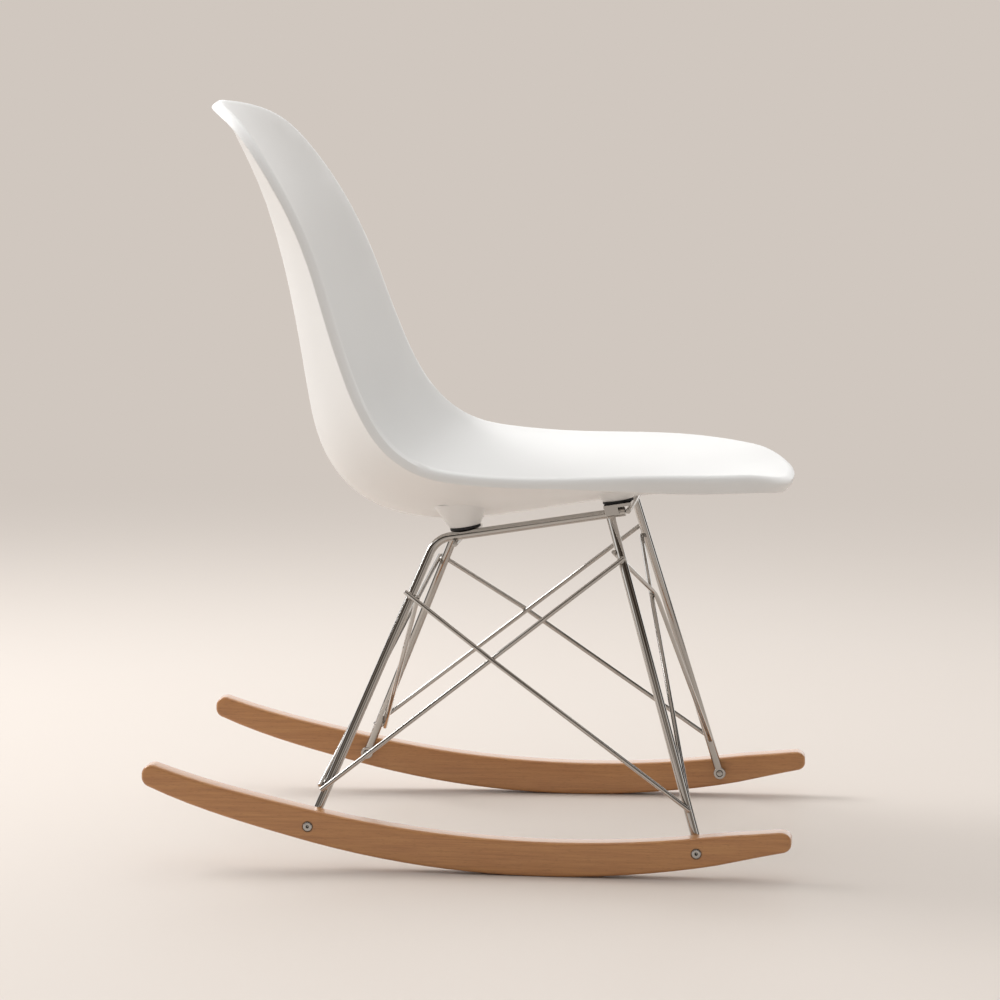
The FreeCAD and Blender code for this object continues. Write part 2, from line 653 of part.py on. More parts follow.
# Rockers
def rocker(side_name, side):
    """Wooden rocker: an arc-edged blank with rounded edges, two bolt holes and two recesses."""
    label = f"rocker_{side_name}"
    body = doc.addObject("PartDesign::Body", label)
    body.Placement = Placement(
        Vector(side * size("rocker_spacing") / 2, 0, 0), Rotation(X_AXIS, rocker_axis(1 if side > 0 else -1) * side)
    )
    outline = sketch_on(body, f"{label}_outline", "YZ_Plane")
    sole_radius = size("rocker_sole_radius")
    sole_centre = Vector(size("rocker_contact_y"), sole_radius, 0)

    def sole_point(y):
        """Point of the rolling sole."""
        return Vector(y, sole_radius - math.sqrt(sole_radius ** 2 - (y - sole_centre.x) ** 2), 0)

    tip = size("rocker_length") / 2
    front_sole = sole_point(-tip)
    rear_sole = sole_point(tip)
    front_top = front_sole + Y_AXIS * size("rocker_front_height")
    rear_top = rear_sole + Y_AXIS * size("rocker_rear_height")
    low_top = Vector(size("rocker_top_low_y"), size("rocker_height"), 0)
    outline.addGeometry(Part.Arc(front_sole, Vector(sole_centre.x, 0, 0), rear_sole))
    outline.addGeometry(Part.LineSegment(rear_sole, rear_top))
    outline.addGeometry(Part.Arc(front_top, low_top, rear_top))
    outline.addGeometry(Part.LineSegment(front_top, front_sole))
    doc.recompute()
    blank = body.newObject("PartDesign::Pad", f"{label}_blank")
    blank.Profile = outline
    blank.SideType = "Symmetric"
    blank.setExpression("Length", "sizes.rocker_thickness")
    doc.recompute()
    tips = body.newObject("PartDesign::Fillet", f"{label}_tips")
    tips.Base = (blank, [
        f"Edge{number}" for number, edge in enumerate(blank.Shape.Edges, start=1)
        if abs(edge.BoundBox.XLength - size("rocker_thickness")) < SAME_LENGTH
        and edge.BoundBox.YLength < SAME_LENGTH
    ])
    tips.setExpression("Radius", "sizes.rocker_tip_round")
    doc.recompute()
    edges = body.newObject("PartDesign::Fillet", f"{label}_edges")
    edges.Base = (tips, [
        f"Edge{number}" for number, edge in enumerate(tips.Shape.Edges, start=1)
        if edge.BoundBox.XLength < SAME_LENGTH
    ])
    edges.setExpression("Radius", "sizes.rocker_edge_round")
    doc.recompute()
    holes = sketch_on(body, f"{label}_holes", "YZ_Plane")
    recesses = sketch_on(body, f"{label}_recesses", "YZ_Plane", side * size("rocker_thickness") / 2)
    for number, end in enumerate(("front", "rear")):
        centre = Vector(size(f"{end}_bolt_y") / math.cos(toe_out), size(f"{end}_bolt_z"), 0)
        for sketch, diameter in (
            (holes, "sizes.bolt_shank + sizes.bolt_hole_play"), (recesses, "sizes.counterbore_diameter")
        ):
            sketch.addGeometry(Part.Circle(centre, Z_AXIS, DRAWN_RADIUS))
            sketch.addConstraint(Sketcher.Constraint("Diameter", number, 2 * DRAWN_RADIUS))
            sketch.setExpression(f"Constraints[{number}]", diameter)
    doc.recompute()
    drilled = body.newObject("PartDesign::Pocket", f"{label}_drilled")
    drilled.Profile = holes
    drilled.SideType = "Symmetric"
    drilled.setExpression("Length", "2 * sizes.rocker_thickness")
    doc.recompute()
    recessed = body.newObject("PartDesign::Pocket", f"{label}_recessed")
    recessed.Profile = recesses
    recessed.Reversed = side < 0
    recessed.setExpression("Length", "sizes.counterbore_depth")
    doc.recompute()
    removed = drilled.Shape.Volume - recessed.Shape.Volume
    print(label, "holes", round(edges.Shape.Volume - drilled.Shape.Volume), "recesses", round(removed))
    if removed < 1:
        raise RuntimeError(f"{label}: the recesses cut nothing")
    return node(body, label)


for side_name, side in SIDES.items():
    rocker(side_name, side)


# Fasteners and mounts
def cylinder(name, radius_expression, height_expression, placement):
    """Cylinder whose sizes follow the sheet."""
    piece = doc.addObject("Part::Cylinder", name)
    piece.setExpression("Radius", radius_expression)
    piece.setExpression("Height", height_expression)
    piece.Placement = placement
    return piece


def boolean(kind, name, base, tool):
    """Cut, Fuse or Common of two pieces."""
    result = doc.addObject(f"Part::{kind}", name)
    result.Base = base
    result.Tool = tool
    return result


def headed_bolt(name, head_alias, shank_radius, shank_length, placement):
    """Bolt along +Z: a tapered head below the origin plane and a shank above it."""
    head = doc.addObject("Part::Cone", f"{name}_head")
    head.setExpression("Radius1", f"sizes.{head_alias}_top / 2")
    head.setExpression("Radius2", f"sizes.{head_alias}_diameter / 2")
    head.setExpression("Height", f"sizes.{head_alias}_height")
    head.setExpression("Placement.Base.z", f"-sizes.{head_alias}_height")
    shank = cylinder(f"{name}_shank", shank_radius, shank_length, Placement())
    bolt = boolean("Fuse", name, head, shank)
    bolt.Placement = placement
    return bolt


def group(label, pieces):
    """Identical separate pieces that share one node."""
    together = doc.addObject("Part::Compound", label)
    together.Links = pieces
    return node(together, label)


def mount_place(side, end, above):
    """Placement on a mount's axis, at a distance above the underside of its plate."""
    turn = Rotation(rail_normal.cross(rail_slope) * -1, rail_slope, rail_normal, "ZYX")
    return Placement(mount_base(side, end) + rail_normal * above, turn)


plate_rise = size("mount_plate_thickness")
pad_top = plate_rise + size("mount_pad_thickness")
screw_hole = "(sizes.screw_shank + sizes.screw_hole_play) / 2"
washers = []
screws = []
inserts = []
for side_name, end in MOUNTS:
    side = SIDES[side_name]
    tag = f"{end}_{side_name}"
    seat_of_plate = mount_place(side, end, 0)
    outer = size("washer_diameter") / 2 + size("weld_gap")
    if end == "front":
        outer += 2 * (rod_radius + size("weld_gap")) + plate_rise
    plate = doc.addObject("Part::Box", f"plate_blank_{tag}")
    plate.setExpression("Length", "sizes.mount_plate_width")
    plate.setExpression("Width", "sizes.mount_plate_length")
    plate.setExpression("Height", "sizes.mount_plate_thickness")
    inner_edge = outer - size("mount_plate_width") if side > 0 else -outer
    corner = Vector(inner_edge, -size("mount_plate_length") / 2, 0)
    plate.Placement = seat_of_plate * Placement(corner, Rotation())
    if end == "front":
        flange = doc.addObject("Part::Box", f"flange_{tag}")
        flange.setExpression("Length", "sizes.mount_plate_thickness")
        flange.setExpression("Width", "sizes.plate_flange_length")
        flange.setExpression("Height", "sizes.plate_flange_height + sizes.mount_plate_thickness / 2")
        leg_place = (size("front_leg_top_y") - mount_y("front")) / rail_direction.y
        left_edge = outer - plate_rise if side > 0 else -outer
        corner = Vector(left_edge, leg_place - size("plate_flange_length") / 2, -size("plate_flange_height"))
        flange.Placement = seat_of_plate * Placement(corner, Rotation())
        plate = boolean("Fuse", f"plate_with_flange_{tag}", plate, flange)
    hole = cylinder(f"plate_hole_{tag}", screw_hole, "sizes.mount_plate_thickness", seat_of_plate)
    node(boolean("Cut", f"mount_plate_{tag}", plate, hole), f"mount_plate_{tag}")

    pad_place = mount_place(side, end, plate_rise)
    disc = cylinder(f"pad_disc_{tag}", "sizes.mount_pad_diameter / 2", "sizes.mount_pad_thickness", pad_place)
    hole = cylinder(f"pad_hole_{tag}", screw_hole, "sizes.mount_pad_thickness", pad_place)
    node(boolean("Cut", f"mount_pad_{tag}", disc, hole), f"mount_pad_{tag}")

    washer_place = mount_place(side, end, -size("washer_thickness"))
    disc = cylinder(f"washer_disc_{tag}", "sizes.washer_diameter / 2", "sizes.washer_thickness", washer_place)
    hole = cylinder(f"washer_hole_{tag}", screw_hole, "sizes.washer_thickness", washer_place)
    washers.append(boolean("Cut", f"washer_{tag}", disc, hole))
    screws.append(headed_bolt(
        f"screw_{tag}", "screw_head", "sizes.screw_shank / 2",
        "sizes.washer_thickness + sizes.mount_plate_thickness + sizes.mount_pad_thickness"
        " + sizes.insert_length - sizes.screw_end_short", washer_place))
    insert_place = mount_place(side, end, pad_top)
    body = cylinder(f"insert_body_{tag}", "sizes.insert_diameter / 2", "sizes.insert_length", insert_place)
    bore_radius = "(sizes.screw_shank + sizes.insert_bore_play) / 2"
    bore = cylinder(f"insert_bore_{tag}", bore_radius, "sizes.insert_length", insert_place)
    inserts.append(boolean("Cut", f"insert_{tag}", body, bore))
group("mount_washers", washers)
group("mount_screws", screws)
group("threaded_inserts", inserts)

rocker_bolts = []
for side_name, side in SIDES.items():
    for end in ("front", "rear"):
        seat_depth = size("rocker_thickness") / 2 - size("counterbore_depth")
        start = bolt_point(side, end) + rocker_axis(side) * seat_depth
        rocker_bolts.append(headed_bolt(
            f"rocker_bolt_{end}_{side_name}", "bolt_head", "sizes.bolt_shank / 2",
            "sizes.rocker_thickness - sizes.counterbore_depth + sizes.foot_bush_length",
            Placement(start, Rotation(Z_AXIS, rocker_axis(side) * -1))))
group("rocker_bolts", rocker_bolts)

doc.recompute()


# Check and write
for piece in doc.Objects:
    if "Invalid" in piece.State or "Error" in piece.State:
        raise RuntimeError(f"{piece.Name} failed: {piece.State}")
os.makedirs("parts", exist_ok=True)
for piece in nodes:
    shape = piece.Shape
    if shape.isNull() or not shape.isValid():
        raise RuntimeError(f"{piece.Label} has no valid shape")
    print(piece.Label, "solids", len(shape.Solids), "volume", round(shape.Volume))
    shape.exportStep(f"parts/{piece.Label}.step")
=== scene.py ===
"""Looks of the moulded plastic rocking chair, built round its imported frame.

The chair faces -Y, the sitter's left is +X and the floor is z = 0. All lengths are metres.
"""

import logging
import math
from contextlib import contextmanager
from dataclasses import dataclass, field
from enum import Enum
from typing import Callable, Iterable, Iterator, Optional, Sequence

import bpy
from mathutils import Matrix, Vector
from mathutils.geometry import intersect_line_line


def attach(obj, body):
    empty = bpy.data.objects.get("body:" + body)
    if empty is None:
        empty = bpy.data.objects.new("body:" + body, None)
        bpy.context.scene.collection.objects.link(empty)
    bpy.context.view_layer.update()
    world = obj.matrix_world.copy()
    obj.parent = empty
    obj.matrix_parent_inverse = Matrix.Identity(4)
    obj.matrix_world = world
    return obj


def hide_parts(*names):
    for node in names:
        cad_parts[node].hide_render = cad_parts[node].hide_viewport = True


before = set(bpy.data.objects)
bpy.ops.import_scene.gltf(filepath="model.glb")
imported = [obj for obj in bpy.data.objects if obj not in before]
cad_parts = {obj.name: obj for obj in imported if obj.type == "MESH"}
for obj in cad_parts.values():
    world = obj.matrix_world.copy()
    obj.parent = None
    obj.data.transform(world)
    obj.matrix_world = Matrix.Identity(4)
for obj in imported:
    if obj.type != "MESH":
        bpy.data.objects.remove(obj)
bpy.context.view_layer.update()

MILLIMETRE = 0.001
X_AXIS = Vector((1, 0, 0))
Y_AXIS = Vector((0, 1, 0))
Z_AXIS = Vector((0, 0, 1))
# A face looks along an axis when more than this share of its normal does.
FACING = 0.9
LOG = logging.getLogger("rocking_chair")


class Side(Enum):
    """The two sides of the chair, each with its sign along X."""

    LEFT = 1
    RIGHT = -1

    @property
    def word(self) -> str:
        """Side as it is written in a node's name."""
        return self.name.lower()

    @property
    def other(self) -> "Side":
        """Side across the chair."""
        return Side(-self.value)


class End(Enum):
    """Front and rear of the chair."""

    FRONT = "front"
    REAR = "rear"


class Slot(Enum):
    """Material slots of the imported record."""

    PLASTIC = "moulded_polypropylene"
    CHROME = "chromed_steel"
    BEECH = "lacquered_beech"
    RUBBER = "black_rubber"
    ZINC = "zinc_plated_steel"
    BRASS = "turned_brass"


class Pick(Enum):
    """What is picked of a mesh for an edit: the selection mode and the mesh's own list."""

    FACES = ("FACE", "polygons")
    CORNERS = ("VERT", "vertices")


# Tools for the finishes

def linear_colour(hex_code: str) -> tuple[float, float, float, float]:
    """Turn an sRGB hex colour into linear values.

    Args:
        hex_code: six hex digits, red first.

    Returns:
        Linear red, green, blue and an alpha of 1.
    """
    channels = [int(hex_code[place:place + 2], 16) / 255 for place in (0, 2, 4)]
    red, green, blue = [
        value / 12.92 if value <= 0.04045 else ((value + 0.055) / 1.055) ** 2.4 for value in channels
    ]
    return red, green, blue, 1.0


def add_node(tree: bpy.types.NodeTree, kind: str, settings: Optional[dict] = None,
             links: Optional[dict] = None) -> bpy.types.Node:
    """Add one shader node with its settings and links.

    Args:
        tree: node tree that gets the node.
        kind: Blender's name of the node type.
        settings: attribute names, or input names and numbers, with their values.
        links: input names or numbers with the output socket that feeds each.

    Returns:
        The new node.
    """
    made = tree.nodes.new(kind)
    for name, value in (settings or {}).items():
        if isinstance(name, str) and hasattr(made, name):
            setattr(made, name, value)
        else:
            made.inputs[name].default_value = value
    for name, source in (links or {}).items():
        tree.links.new(source, made.inputs[name])
    return made


def empty_material(name: str) -> tuple[bpy.types.Material, bpy.types.NodeTree, bpy.types.NodeSocket]:
    """Make a node material with only its place on the object in it.

    Args:
        name: name of the material.

    Returns:
        The material, its node tree and the socket that gives the place.
    """
    material = bpy.data.materials.new(name)
    material.use_nodes = True
    tree = material.node_tree
    tree.nodes.clear()
    return material, tree, add_node(tree, "ShaderNodeTexCoord").outputs["Object"]


def fill_ramp(ramp_node: bpy.types.Node, stops: Iterable[tuple[float, str]]) -> None:
    """Set the stops of a colour ramp.

    Args:
        ramp_node: the colour ramp node.
        stops: place from 0 to 1 and hex colour of each stop, at least two.
    """
    elements = ramp_node.color_ramp.elements
    stops = list(stops)
    while len(elements) < len(stops):
        elements.new(1.0)
    for element, (place, hex_code) in zip(elements, stops):
        element.position = place
        element.color = linear_colour(hex_code)


# Finishes of the chair

@dataclass(frozen=True)
class Skin:
    """Gloss and fine relief of a surface: its range of roughness, and the relief's depth and strength."""

    gloss: tuple[float, float]
    depth: float
    strength: float

    def close(self, tree: bpy.types.NodeTree, shine: bpy.types.Node, relief: bpy.types.Node,
              settings: dict, links: Optional[dict] = None) -> None:
        """Finish a material with its shader, which gets this gloss and relief.

        Args:
            tree: node tree of the material.
            shine: pattern that varies the gloss.
            relief: pattern of the relief.
            settings: settings of the shader.
            links: further links of the shader.
        """
        gloss = add_node(tree, "ShaderNodeMapRange", {"To Min": self.gloss[0], "To Max": self.gloss[1]},
                         {"Value": shine.outputs["Fac"]})
        bump = add_node(tree, "ShaderNodeBump", {"Strength": self.strength, "Distance": self.depth},
                        {"Height": relief.outputs["Fac"]})
        shader = add_node(tree, "ShaderNodeBsdfPrincipled", settings, {
            **(links or {}), "Roughness": gloss.outputs["Result"], "Normal": bump.outputs["Normal"]})
        add_node(tree, "ShaderNodeOutputMaterial", links={"Surface": shader.outputs["BSDF"]})


@dataclass(frozen=True)
class MouldedPolypropylene:
    """White polypropylene from a fine-textured mould: an even satin skin with soft broad highlights."""

    # The flow of the melt shades the white a little, over more than a hand's width.
    tint: tuple = ((0.3, "EBEBEA"), (0.7, "F0F0EF"))
    flow_size: float = 160 * MILLIMETRE
    # A mould's texture is a few tenths of a millimetre; it is drawn coarser, so that it shows.
    texture_size: float = 1.1 * MILLIMETRE
    skin: Skin = Skin((0.36, 0.44), 0.02 * MILLIMETRE, 0.25)
    ior: float = 1.49

    def material(self) -> bpy.types.Material:
        """Build the material of the moulded seat."""
        material, tree, place = empty_material("moulded_polypropylene")
        flow = add_node(tree, "ShaderNodeTexNoise", {"Scale": 1 / self.flow_size, "Detail": 2.0},
                        {"Vector": place})
        tint = add_node(tree, "ShaderNodeValToRGB", links={"Fac": flow.outputs["Fac"]})
        fill_ramp(tint, self.tint)
        texture = add_node(tree, "ShaderNodeTexNoise", {"Scale": 1 / self.texture_size, "Detail": 3.0},
                           {"Vector": place})
        self.skin.close(tree, flow, texture, {"IOR": self.ior}, {"Base Color": tint.outputs["Color"]})
        return material


@dataclass(frozen=True)
class ChromedSteel:
    """Bright chrome plate on drawn steel: mirror-like, with a faint haze where hands and cloths rub it."""

    plate: str = "B9B6B2"
    haze_size: float = 22 * MILLIMETRE
    # The drawn lines under the plate are drawn coarser than the real ones, so that they show.
    line_size: float = 0.9 * MILLIMETRE
    skin: Skin = Skin((0.03, 0.09), 0.005 * MILLIMETRE, 0.08)

    def material(self) -> bpy.types.Material:
        """Build the material of the rods and plates."""
        material, tree, place = empty_material("chromed_steel")
        haze = add_node(tree, "ShaderNodeTexNoise", {"Scale": 1 / self.haze_size, "Detail": 4.0},
                        {"Vector": place})
        lines = add_node(tree, "ShaderNodeTexNoise", {"Scale": 1 / self.line_size, "Detail": 2.0},
                         {"Vector": place})
        self.skin.close(tree, haze, lines, {"Base Color": linear_colour(self.plate), "Metallic": 1.0})
        return material


@dataclass(frozen=True)
class LacqueredBeech:
    """Sawn and sanded beech under clear satin lacquer: straight fine grain with short darker ray flecks."""

    # The growth lines make the even warm brown, and the flecks the short dashes along the grain.
    wood: tuple = ((0.3, "AB7240"), (0.5, "B98049"), (0.68, "C28B50"))
    growth_line: float = 2.2 * MILLIMETRE
    grain_length: float = 90 * MILLIMETRE
    grain_roughness: float = 0.6
    fleck: str = "925E33"
    fleck_width: float = 0.7 * MILLIMETRE
    fleck_length: float = 6 * MILLIMETRE
    fleck_range: tuple[float, float] = (0.58, 0.72)
    fleck_share: float = 0.4
    skin: Skin = Skin((0.38, 0.52), 0.03 * MILLIMETRE, 0.3)
    lacquer_roughness: float = 0.24
    ior: float = 1.5

    def material(self) -> bpy.types.Material:
        """Build the material of the rockers; the grain runs along Y."""
        material, tree, place = empty_material("lacquered_beech")
        across, along = 1 / self.growth_line, 1 / self.grain_length
        along_grain = add_node(tree, "ShaderNodeMapping", {"Scale": (across, along, across)},
                               {"Vector": place})
        growth = add_node(
            tree, "ShaderNodeTexNoise", {"Scale": 1.0, "Detail": 5.0, "Roughness": self.grain_roughness},
            {"Vector": along_grain.outputs["Vector"]})
        colour = add_node(tree, "ShaderNodeValToRGB", links={"Fac": growth.outputs["Fac"]})
        fill_ramp(colour, self.wood)
        across, along = 1 / self.fleck_width, 1 / self.fleck_length
        along_fleck = add_node(tree, "ShaderNodeMapping", {"Scale": (across, along, across)},
                               {"Vector": place})
        rays = add_node(tree, "ShaderNodeTexNoise", {"Scale": 1.0, "Detail": 1.0},
                        {"Vector": along_fleck.outputs["Vector"]})
        fleck_share = add_node(
            tree, "ShaderNodeMapRange",
            {"From Min": self.fleck_range[0], "From Max": self.fleck_range[1], "To Max": self.fleck_share},
            {"Value": rays.outputs["Fac"]})
        flecked = add_node(
            tree, "ShaderNodeMix", {"data_type": "RGBA", 7: linear_colour(self.fleck)},
            {"Factor": fleck_share.outputs["Result"], 6: colour.outputs["Color"]})
        self.skin.close(
            tree, growth, rays,
            {"IOR": self.ior, "Coat Weight": 1.0, "Coat Roughness": self.lacquer_roughness},
            {"Base Color": flecked.outputs[2]})
        return material


@dataclass(frozen=True)
class MouldedRubber:
    """Black moulded rubber: dull, with a fine dusty bloom."""

    # The bloom lies in specks of a few millimetres, a little greyer and drier than the rubber.
    bloom: tuple = ((0.4, "151516"), (0.75, "2A2A2C"))
    bloom_size: float = 3 * MILLIMETRE
    skin: Skin = Skin((0.6, 0.85), 0.05 * MILLIMETRE, 0.3)
    ior: float = 1.52

    def material(self) -> bpy.types.Material:
        """Build the material of the pads."""
        material, tree, place = empty_material("black_rubber")
        bloom = add_node(tree, "ShaderNodeTexNoise", {"Scale": 1 / self.bloom_size, "Detail": 4.0},
                         {"Vector": place})
        colour = add_node(tree, "ShaderNodeValToRGB", links={"Fac": bloom.outputs["Fac"]})
        fill_ramp(colour, self.bloom)
        self.skin.close(tree, bloom, bloom, {"IOR": self.ior}, {"Base Color": colour.outputs["Color"]})
        return material


@dataclass(frozen=True)
class PlatedFastener:
    """Turned metal with a thin plating: soft gloss and faint turning marks."""

    name: str
    plate: str
    # Turning marks are drawn coarser than the real ones, so that they break up the gloss.
    mark_size: float = 0.8 * MILLIMETRE
    skin: Skin = Skin((0.14, 0.28), 0.01 * MILLIMETRE, 0.2)

    def material(self) -> bpy.types.Material:
        """Build the material of a fastener."""
        material, tree, place = empty_material(self.name)
        marks = add_node(tree, "ShaderNodeTexNoise", {"Scale": 1 / self.mark_size, "Detail": 3.0},
                         {"Vector": place})
        self.skin.close(tree, marks, marks, {"Base Color": linear_colour(self.plate), "Metallic": 1.0})
        return material


@dataclass
class Finishes:
    """Every finish of the chair, built once and shared by its pieces."""

    made: dict[Slot, bpy.types.Material] = field(default_factory=dict)

    def __post_init__(self) -> None:
        """Build each material for its slot."""
        self.made = {
            Slot.PLASTIC: MouldedPolypropylene().material(),
            Slot.CHROME: ChromedSteel().material(),
            Slot.BEECH: LacqueredBeech().material(),
            Slot.RUBBER: MouldedRubber().material(),
            Slot.ZINC: PlatedFastener("zinc_plated_steel", "B4B3B0").material(),
            Slot.BRASS: PlatedFastener("turned_brass", "B8903F").material(),
        }

    def dress(self, piece: bpy.types.Object, slot: Slot, replaced: Sequence[str] = ()) -> None:
        """Give a piece its finish and tie it to the frame.

        Args:
            piece: finished mesh object, with its place in its mesh.
            slot: slot that the piece takes its finish from.
            replaced: nodes of the frame that the piece stands for.
        """
        piece.data.materials.clear()
        piece.data.materials.append(self.made[slot])
        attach(piece, "root")
        if replaced:
            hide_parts(*replaced)
        LOG.info("%s: %s, %d faces", piece.name, slot.value, len(piece.data.polygons))

    def dress_node(self, name: str, slot: Slot) -> None:
        """Give a node of the frame its finish and leave its mesh alone.

        Args:
            name: node of the frame.
            slot: slot that the node takes its finish from.
        """
        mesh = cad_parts[name].data
        mesh.materials.clear()
        mesh.materials.append(self.made[slot])
        LOG.info("%s: %s, kept from the frame", name, slot.value)


# Tools for the meshes

def select_only(piece: bpy.types.Object) -> None:
    """Make one object the only selected and the active one."""
    bpy.ops.object.select_all(action="DESELECT")
    piece.select_set(True)
    bpy.context.view_layer.objects.active = piece


def settle(piece: bpy.types.Object) -> None:
    """Put a piece's place, turn and size into its mesh."""
    select_only(piece)
    bpy.ops.object.transform_apply(location=True, rotation=True, scale=True)


def shade(piece: bpy.types.Object, sharp_degrees: float = 35.0) -> None:
    """Smooth the shading of a piece; edges that turn more than the angle stay sharp."""
    select_only(piece)
    bpy.ops.object.shade_smooth_by_angle(angle=math.radians(sharp_degrees))


@contextmanager
def editing(piece: bpy.types.Object, pick: Pick, wanted: Callable[..., bool]) -> Iterator[None]:
    """Edit a piece with only some of its faces or corners selected.

    Args:
        piece: object to edit.
        pick: whether faces or corners are selected.
        wanted: test that a selected face or corner passes.

    Returns:
        A context in which the piece is open for editing.
    """
    mode, own_list = pick.value
    select_only(piece)
    bpy.ops.object.mode_set(mode="EDIT")
    bpy.ops.mesh.select_mode(type=mode)
    bpy.ops.mesh.select_all(action="DESELECT")
    bpy.ops.object.mode_set(mode="OBJECT")
    for item in getattr(piece.data, own_list):
        item.select = wanted(item)
    bpy.ops.object.mode_set(mode="EDIT")
    yield
    bpy.ops.object.mode_set(mode="OBJECT")


def merged_copy(node: str, name: str, sharp_degrees: float = 35.0) -> bpy.types.Object:
    """Copy a node of the frame with its triangles joined and its shading smoothed.

    Args:
        node: node of the frame to copy.
        name: name of the new piece.
        sharp_degrees: edges that turn more than this stay sharp.

    Returns:
        The new piece.
    """
    piece = bpy.data.objects.new(name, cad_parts[node].data.copy())
    piece.data.name = name
    bpy.context.scene.collection.objects.link(piece)
    select_only(piece)
    bpy.ops.object.mode_set(mode="EDIT")
    bpy.ops.mesh.select_all(action="SELECT")
    bpy.ops.mesh.remove_doubles(threshold=0.004 * MILLIMETRE)
    bpy.ops.object.mode_set(mode="OBJECT")
    if piece.data.has_custom_normals:
        bpy.ops.mesh.customdata_custom_splitnormals_clear()
    shade(piece, sharp_degrees)
    return piece


def round_edges(piece: bpy.types.Object, width: float, segments: int = 3) -> None:
    """Round the sharp edges of a piece whose faces are flat or evenly curved.

    Args:
        piece: object to round.
        width: width of the rounding.
        segments: steps across the rounding.
    """
    flat_degrees = 1
    edge_degrees = 40
    select_only(piece)
    bpy.ops.object.mode_set(mode="EDIT")
    bpy.ops.mesh.select_all(action="SELECT")
    bpy.ops.mesh.dissolve_limited(angle_limit=math.radians(flat_degrees))
    bpy.ops.object.mode_set(mode="OBJECT")
    rounding = piece.modifiers.new("rounding", "BEVEL")
    rounding.width = width
    rounding.segments = segments
    rounding.limit_method = "ANGLE"
    rounding.angle_limit = math.radians(edge_degrees)
    bpy.ops.object.modifier_apply(modifier=rounding.name)
    shade(piece)


def mean_point(points: Sequence[Vector]) -> Vector:
    """Middle of some points."""
    return sum(points, Vector()) / len(points)


def node_points(node: str) -> list[Vector]:
    """Corners of a node's mesh, each once and in a fixed order."""
    corners = {tuple(round(value, 6) for value in vertex.co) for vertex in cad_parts[node].data.vertices}
    return [Vector(corner) for corner in sorted(corners)]


def node_middle(node: str) -> Vector:
    """Middle of the box of a node."""
    points = node_points(node)
    low = Vector([min(point[axis] for point in points) for axis in range(3)])
    high = Vector([max(point[axis] for point in points) for axis in range(3)])
    return (low + high) / 2


def bar_ends(node: str, depth: float = 3 * MILLIMETRE) -> tuple[Vector, Vector]:
    """Find the middles of the two ends of a bar of the frame.

    Args:
        node: node of the bar.
        depth: how far in from its tip an end still has corners.

    Returns:
        Middle of the upper end and middle of the lower end.
    """
    points = node_points(node)
    middle = mean_point(points)
    along = (max(points, key=lambda point: (point - middle).length) - middle).normalized()
    ends = []
    for way in (along, -along):
        reach = max(way.dot(point - middle) for point in points)
        ends.append(mean_point([point for point in points if way.dot(point - middle) > reach - depth]))
    upper, lower = sorted(ends, key=lambda point: -point.z)
    return upper, lower


def bent_route(start: Vector, corner: Vector, stop: Vector, setback: float, steps: int = 6) -> list[Vector]:
    """Route of a bar with one smooth bend.

    Args:
        start: first end.
        corner: where the two straight runs would meet.
        stop: last end.
        setback: length that the bend takes from each run.
        steps: straight steps that the bend is made of.

    Returns:
        Points of the route.
    """
    bend_start = corner + (start - corner).normalized() * setback
    bend_end = corner + (stop - corner).normalized() * setback
    route = [start]
    for step in range(steps + 1):
        share = step / steps
        first = bend_start.lerp(corner, share)
        route.append(first.lerp(corner.lerp(bend_end, share), share))
    return route + [stop]


def placed_copy(source: bpy.types.Object, place: Vector, direction: Vector) -> bpy.types.Object:
    """Copy a piece that was modelled at the origin along +Z to another place.

    Args:
        source: piece to copy.
        place: where its origin goes.
        direction: where its +Z goes.

    Returns:
        The copy, with a mesh of its own.
    """
    copy = bpy.data.objects.new(f"{source.name}_copy", source.data.copy())
    bpy.context.scene.collection.objects.link(copy)
    copy.location = place
    copy.rotation_euler = direction.to_track_quat("Z", "Y").to_euler()
    settle(copy)
    return copy


def joined(name: str, pieces: Sequence[bpy.types.Object]) -> bpy.types.Object:
    """Join pieces to one.

    Args:
        name: name of the joined piece.
        pieces: pieces to join.

    Returns:
        The joined piece.
    """
    select_only(pieces[0])
    for piece in pieces[1:]:
        piece.select_set(True)
    bpy.ops.object.join()
    whole = bpy.context.object
    whole.name = name
    whole.data.name = name
    return whole


# Pieces that repeat

@dataclass(frozen=True)
class RoundBar:
    """Round bar with its cut ends dressed by a small rounding."""

    radius: float
    end_round: float = 0.6 * MILLIMETRE
    sides: int = 28

    def build(self, name: str, route: Sequence[Vector]) -> bpy.types.Object:
        """Model the bar along a route that turns only a little.

        Args:
            name: name of the piece.
            route: points of its axis.

        Returns:
            The bar.
        """
        bpy.ops.object.select_all(action="DESELECT")
        turn = (route[-1] - route[0]).to_track_quat("Z", "Y").to_euler()
        bpy.ops.mesh.primitive_circle_add(
            vertices=self.sides, radius=self.radius, fill_type="NGON", location=route[0], rotation=turn)
        bar = bpy.context.object
        bar.name = name
        bpy.ops.object.mode_set(mode="EDIT")
        bpy.ops.mesh.select_mode(type="FACE")
        bpy.ops.mesh.select_all(action="SELECT")
        for place, following in zip(route, route[1:]):
            bpy.ops.mesh.extrude_region_move(
                TRANSFORM_OT_translate={"value": following - place, "orient_type": "GLOBAL"})
        bpy.ops.mesh.select_all(action="SELECT")
        bpy.ops.mesh.normals_make_consistent(inside=False)
        bpy.ops.object.mode_set(mode="OBJECT")
        with editing(bar, Pick.FACES, lambda face: len(face.vertices) == self.sides):
            bpy.ops.mesh.bevel(offset=self.end_round, segments=3, affect="EDGES")
        settle(bar)
        shade(bar)
        return bar


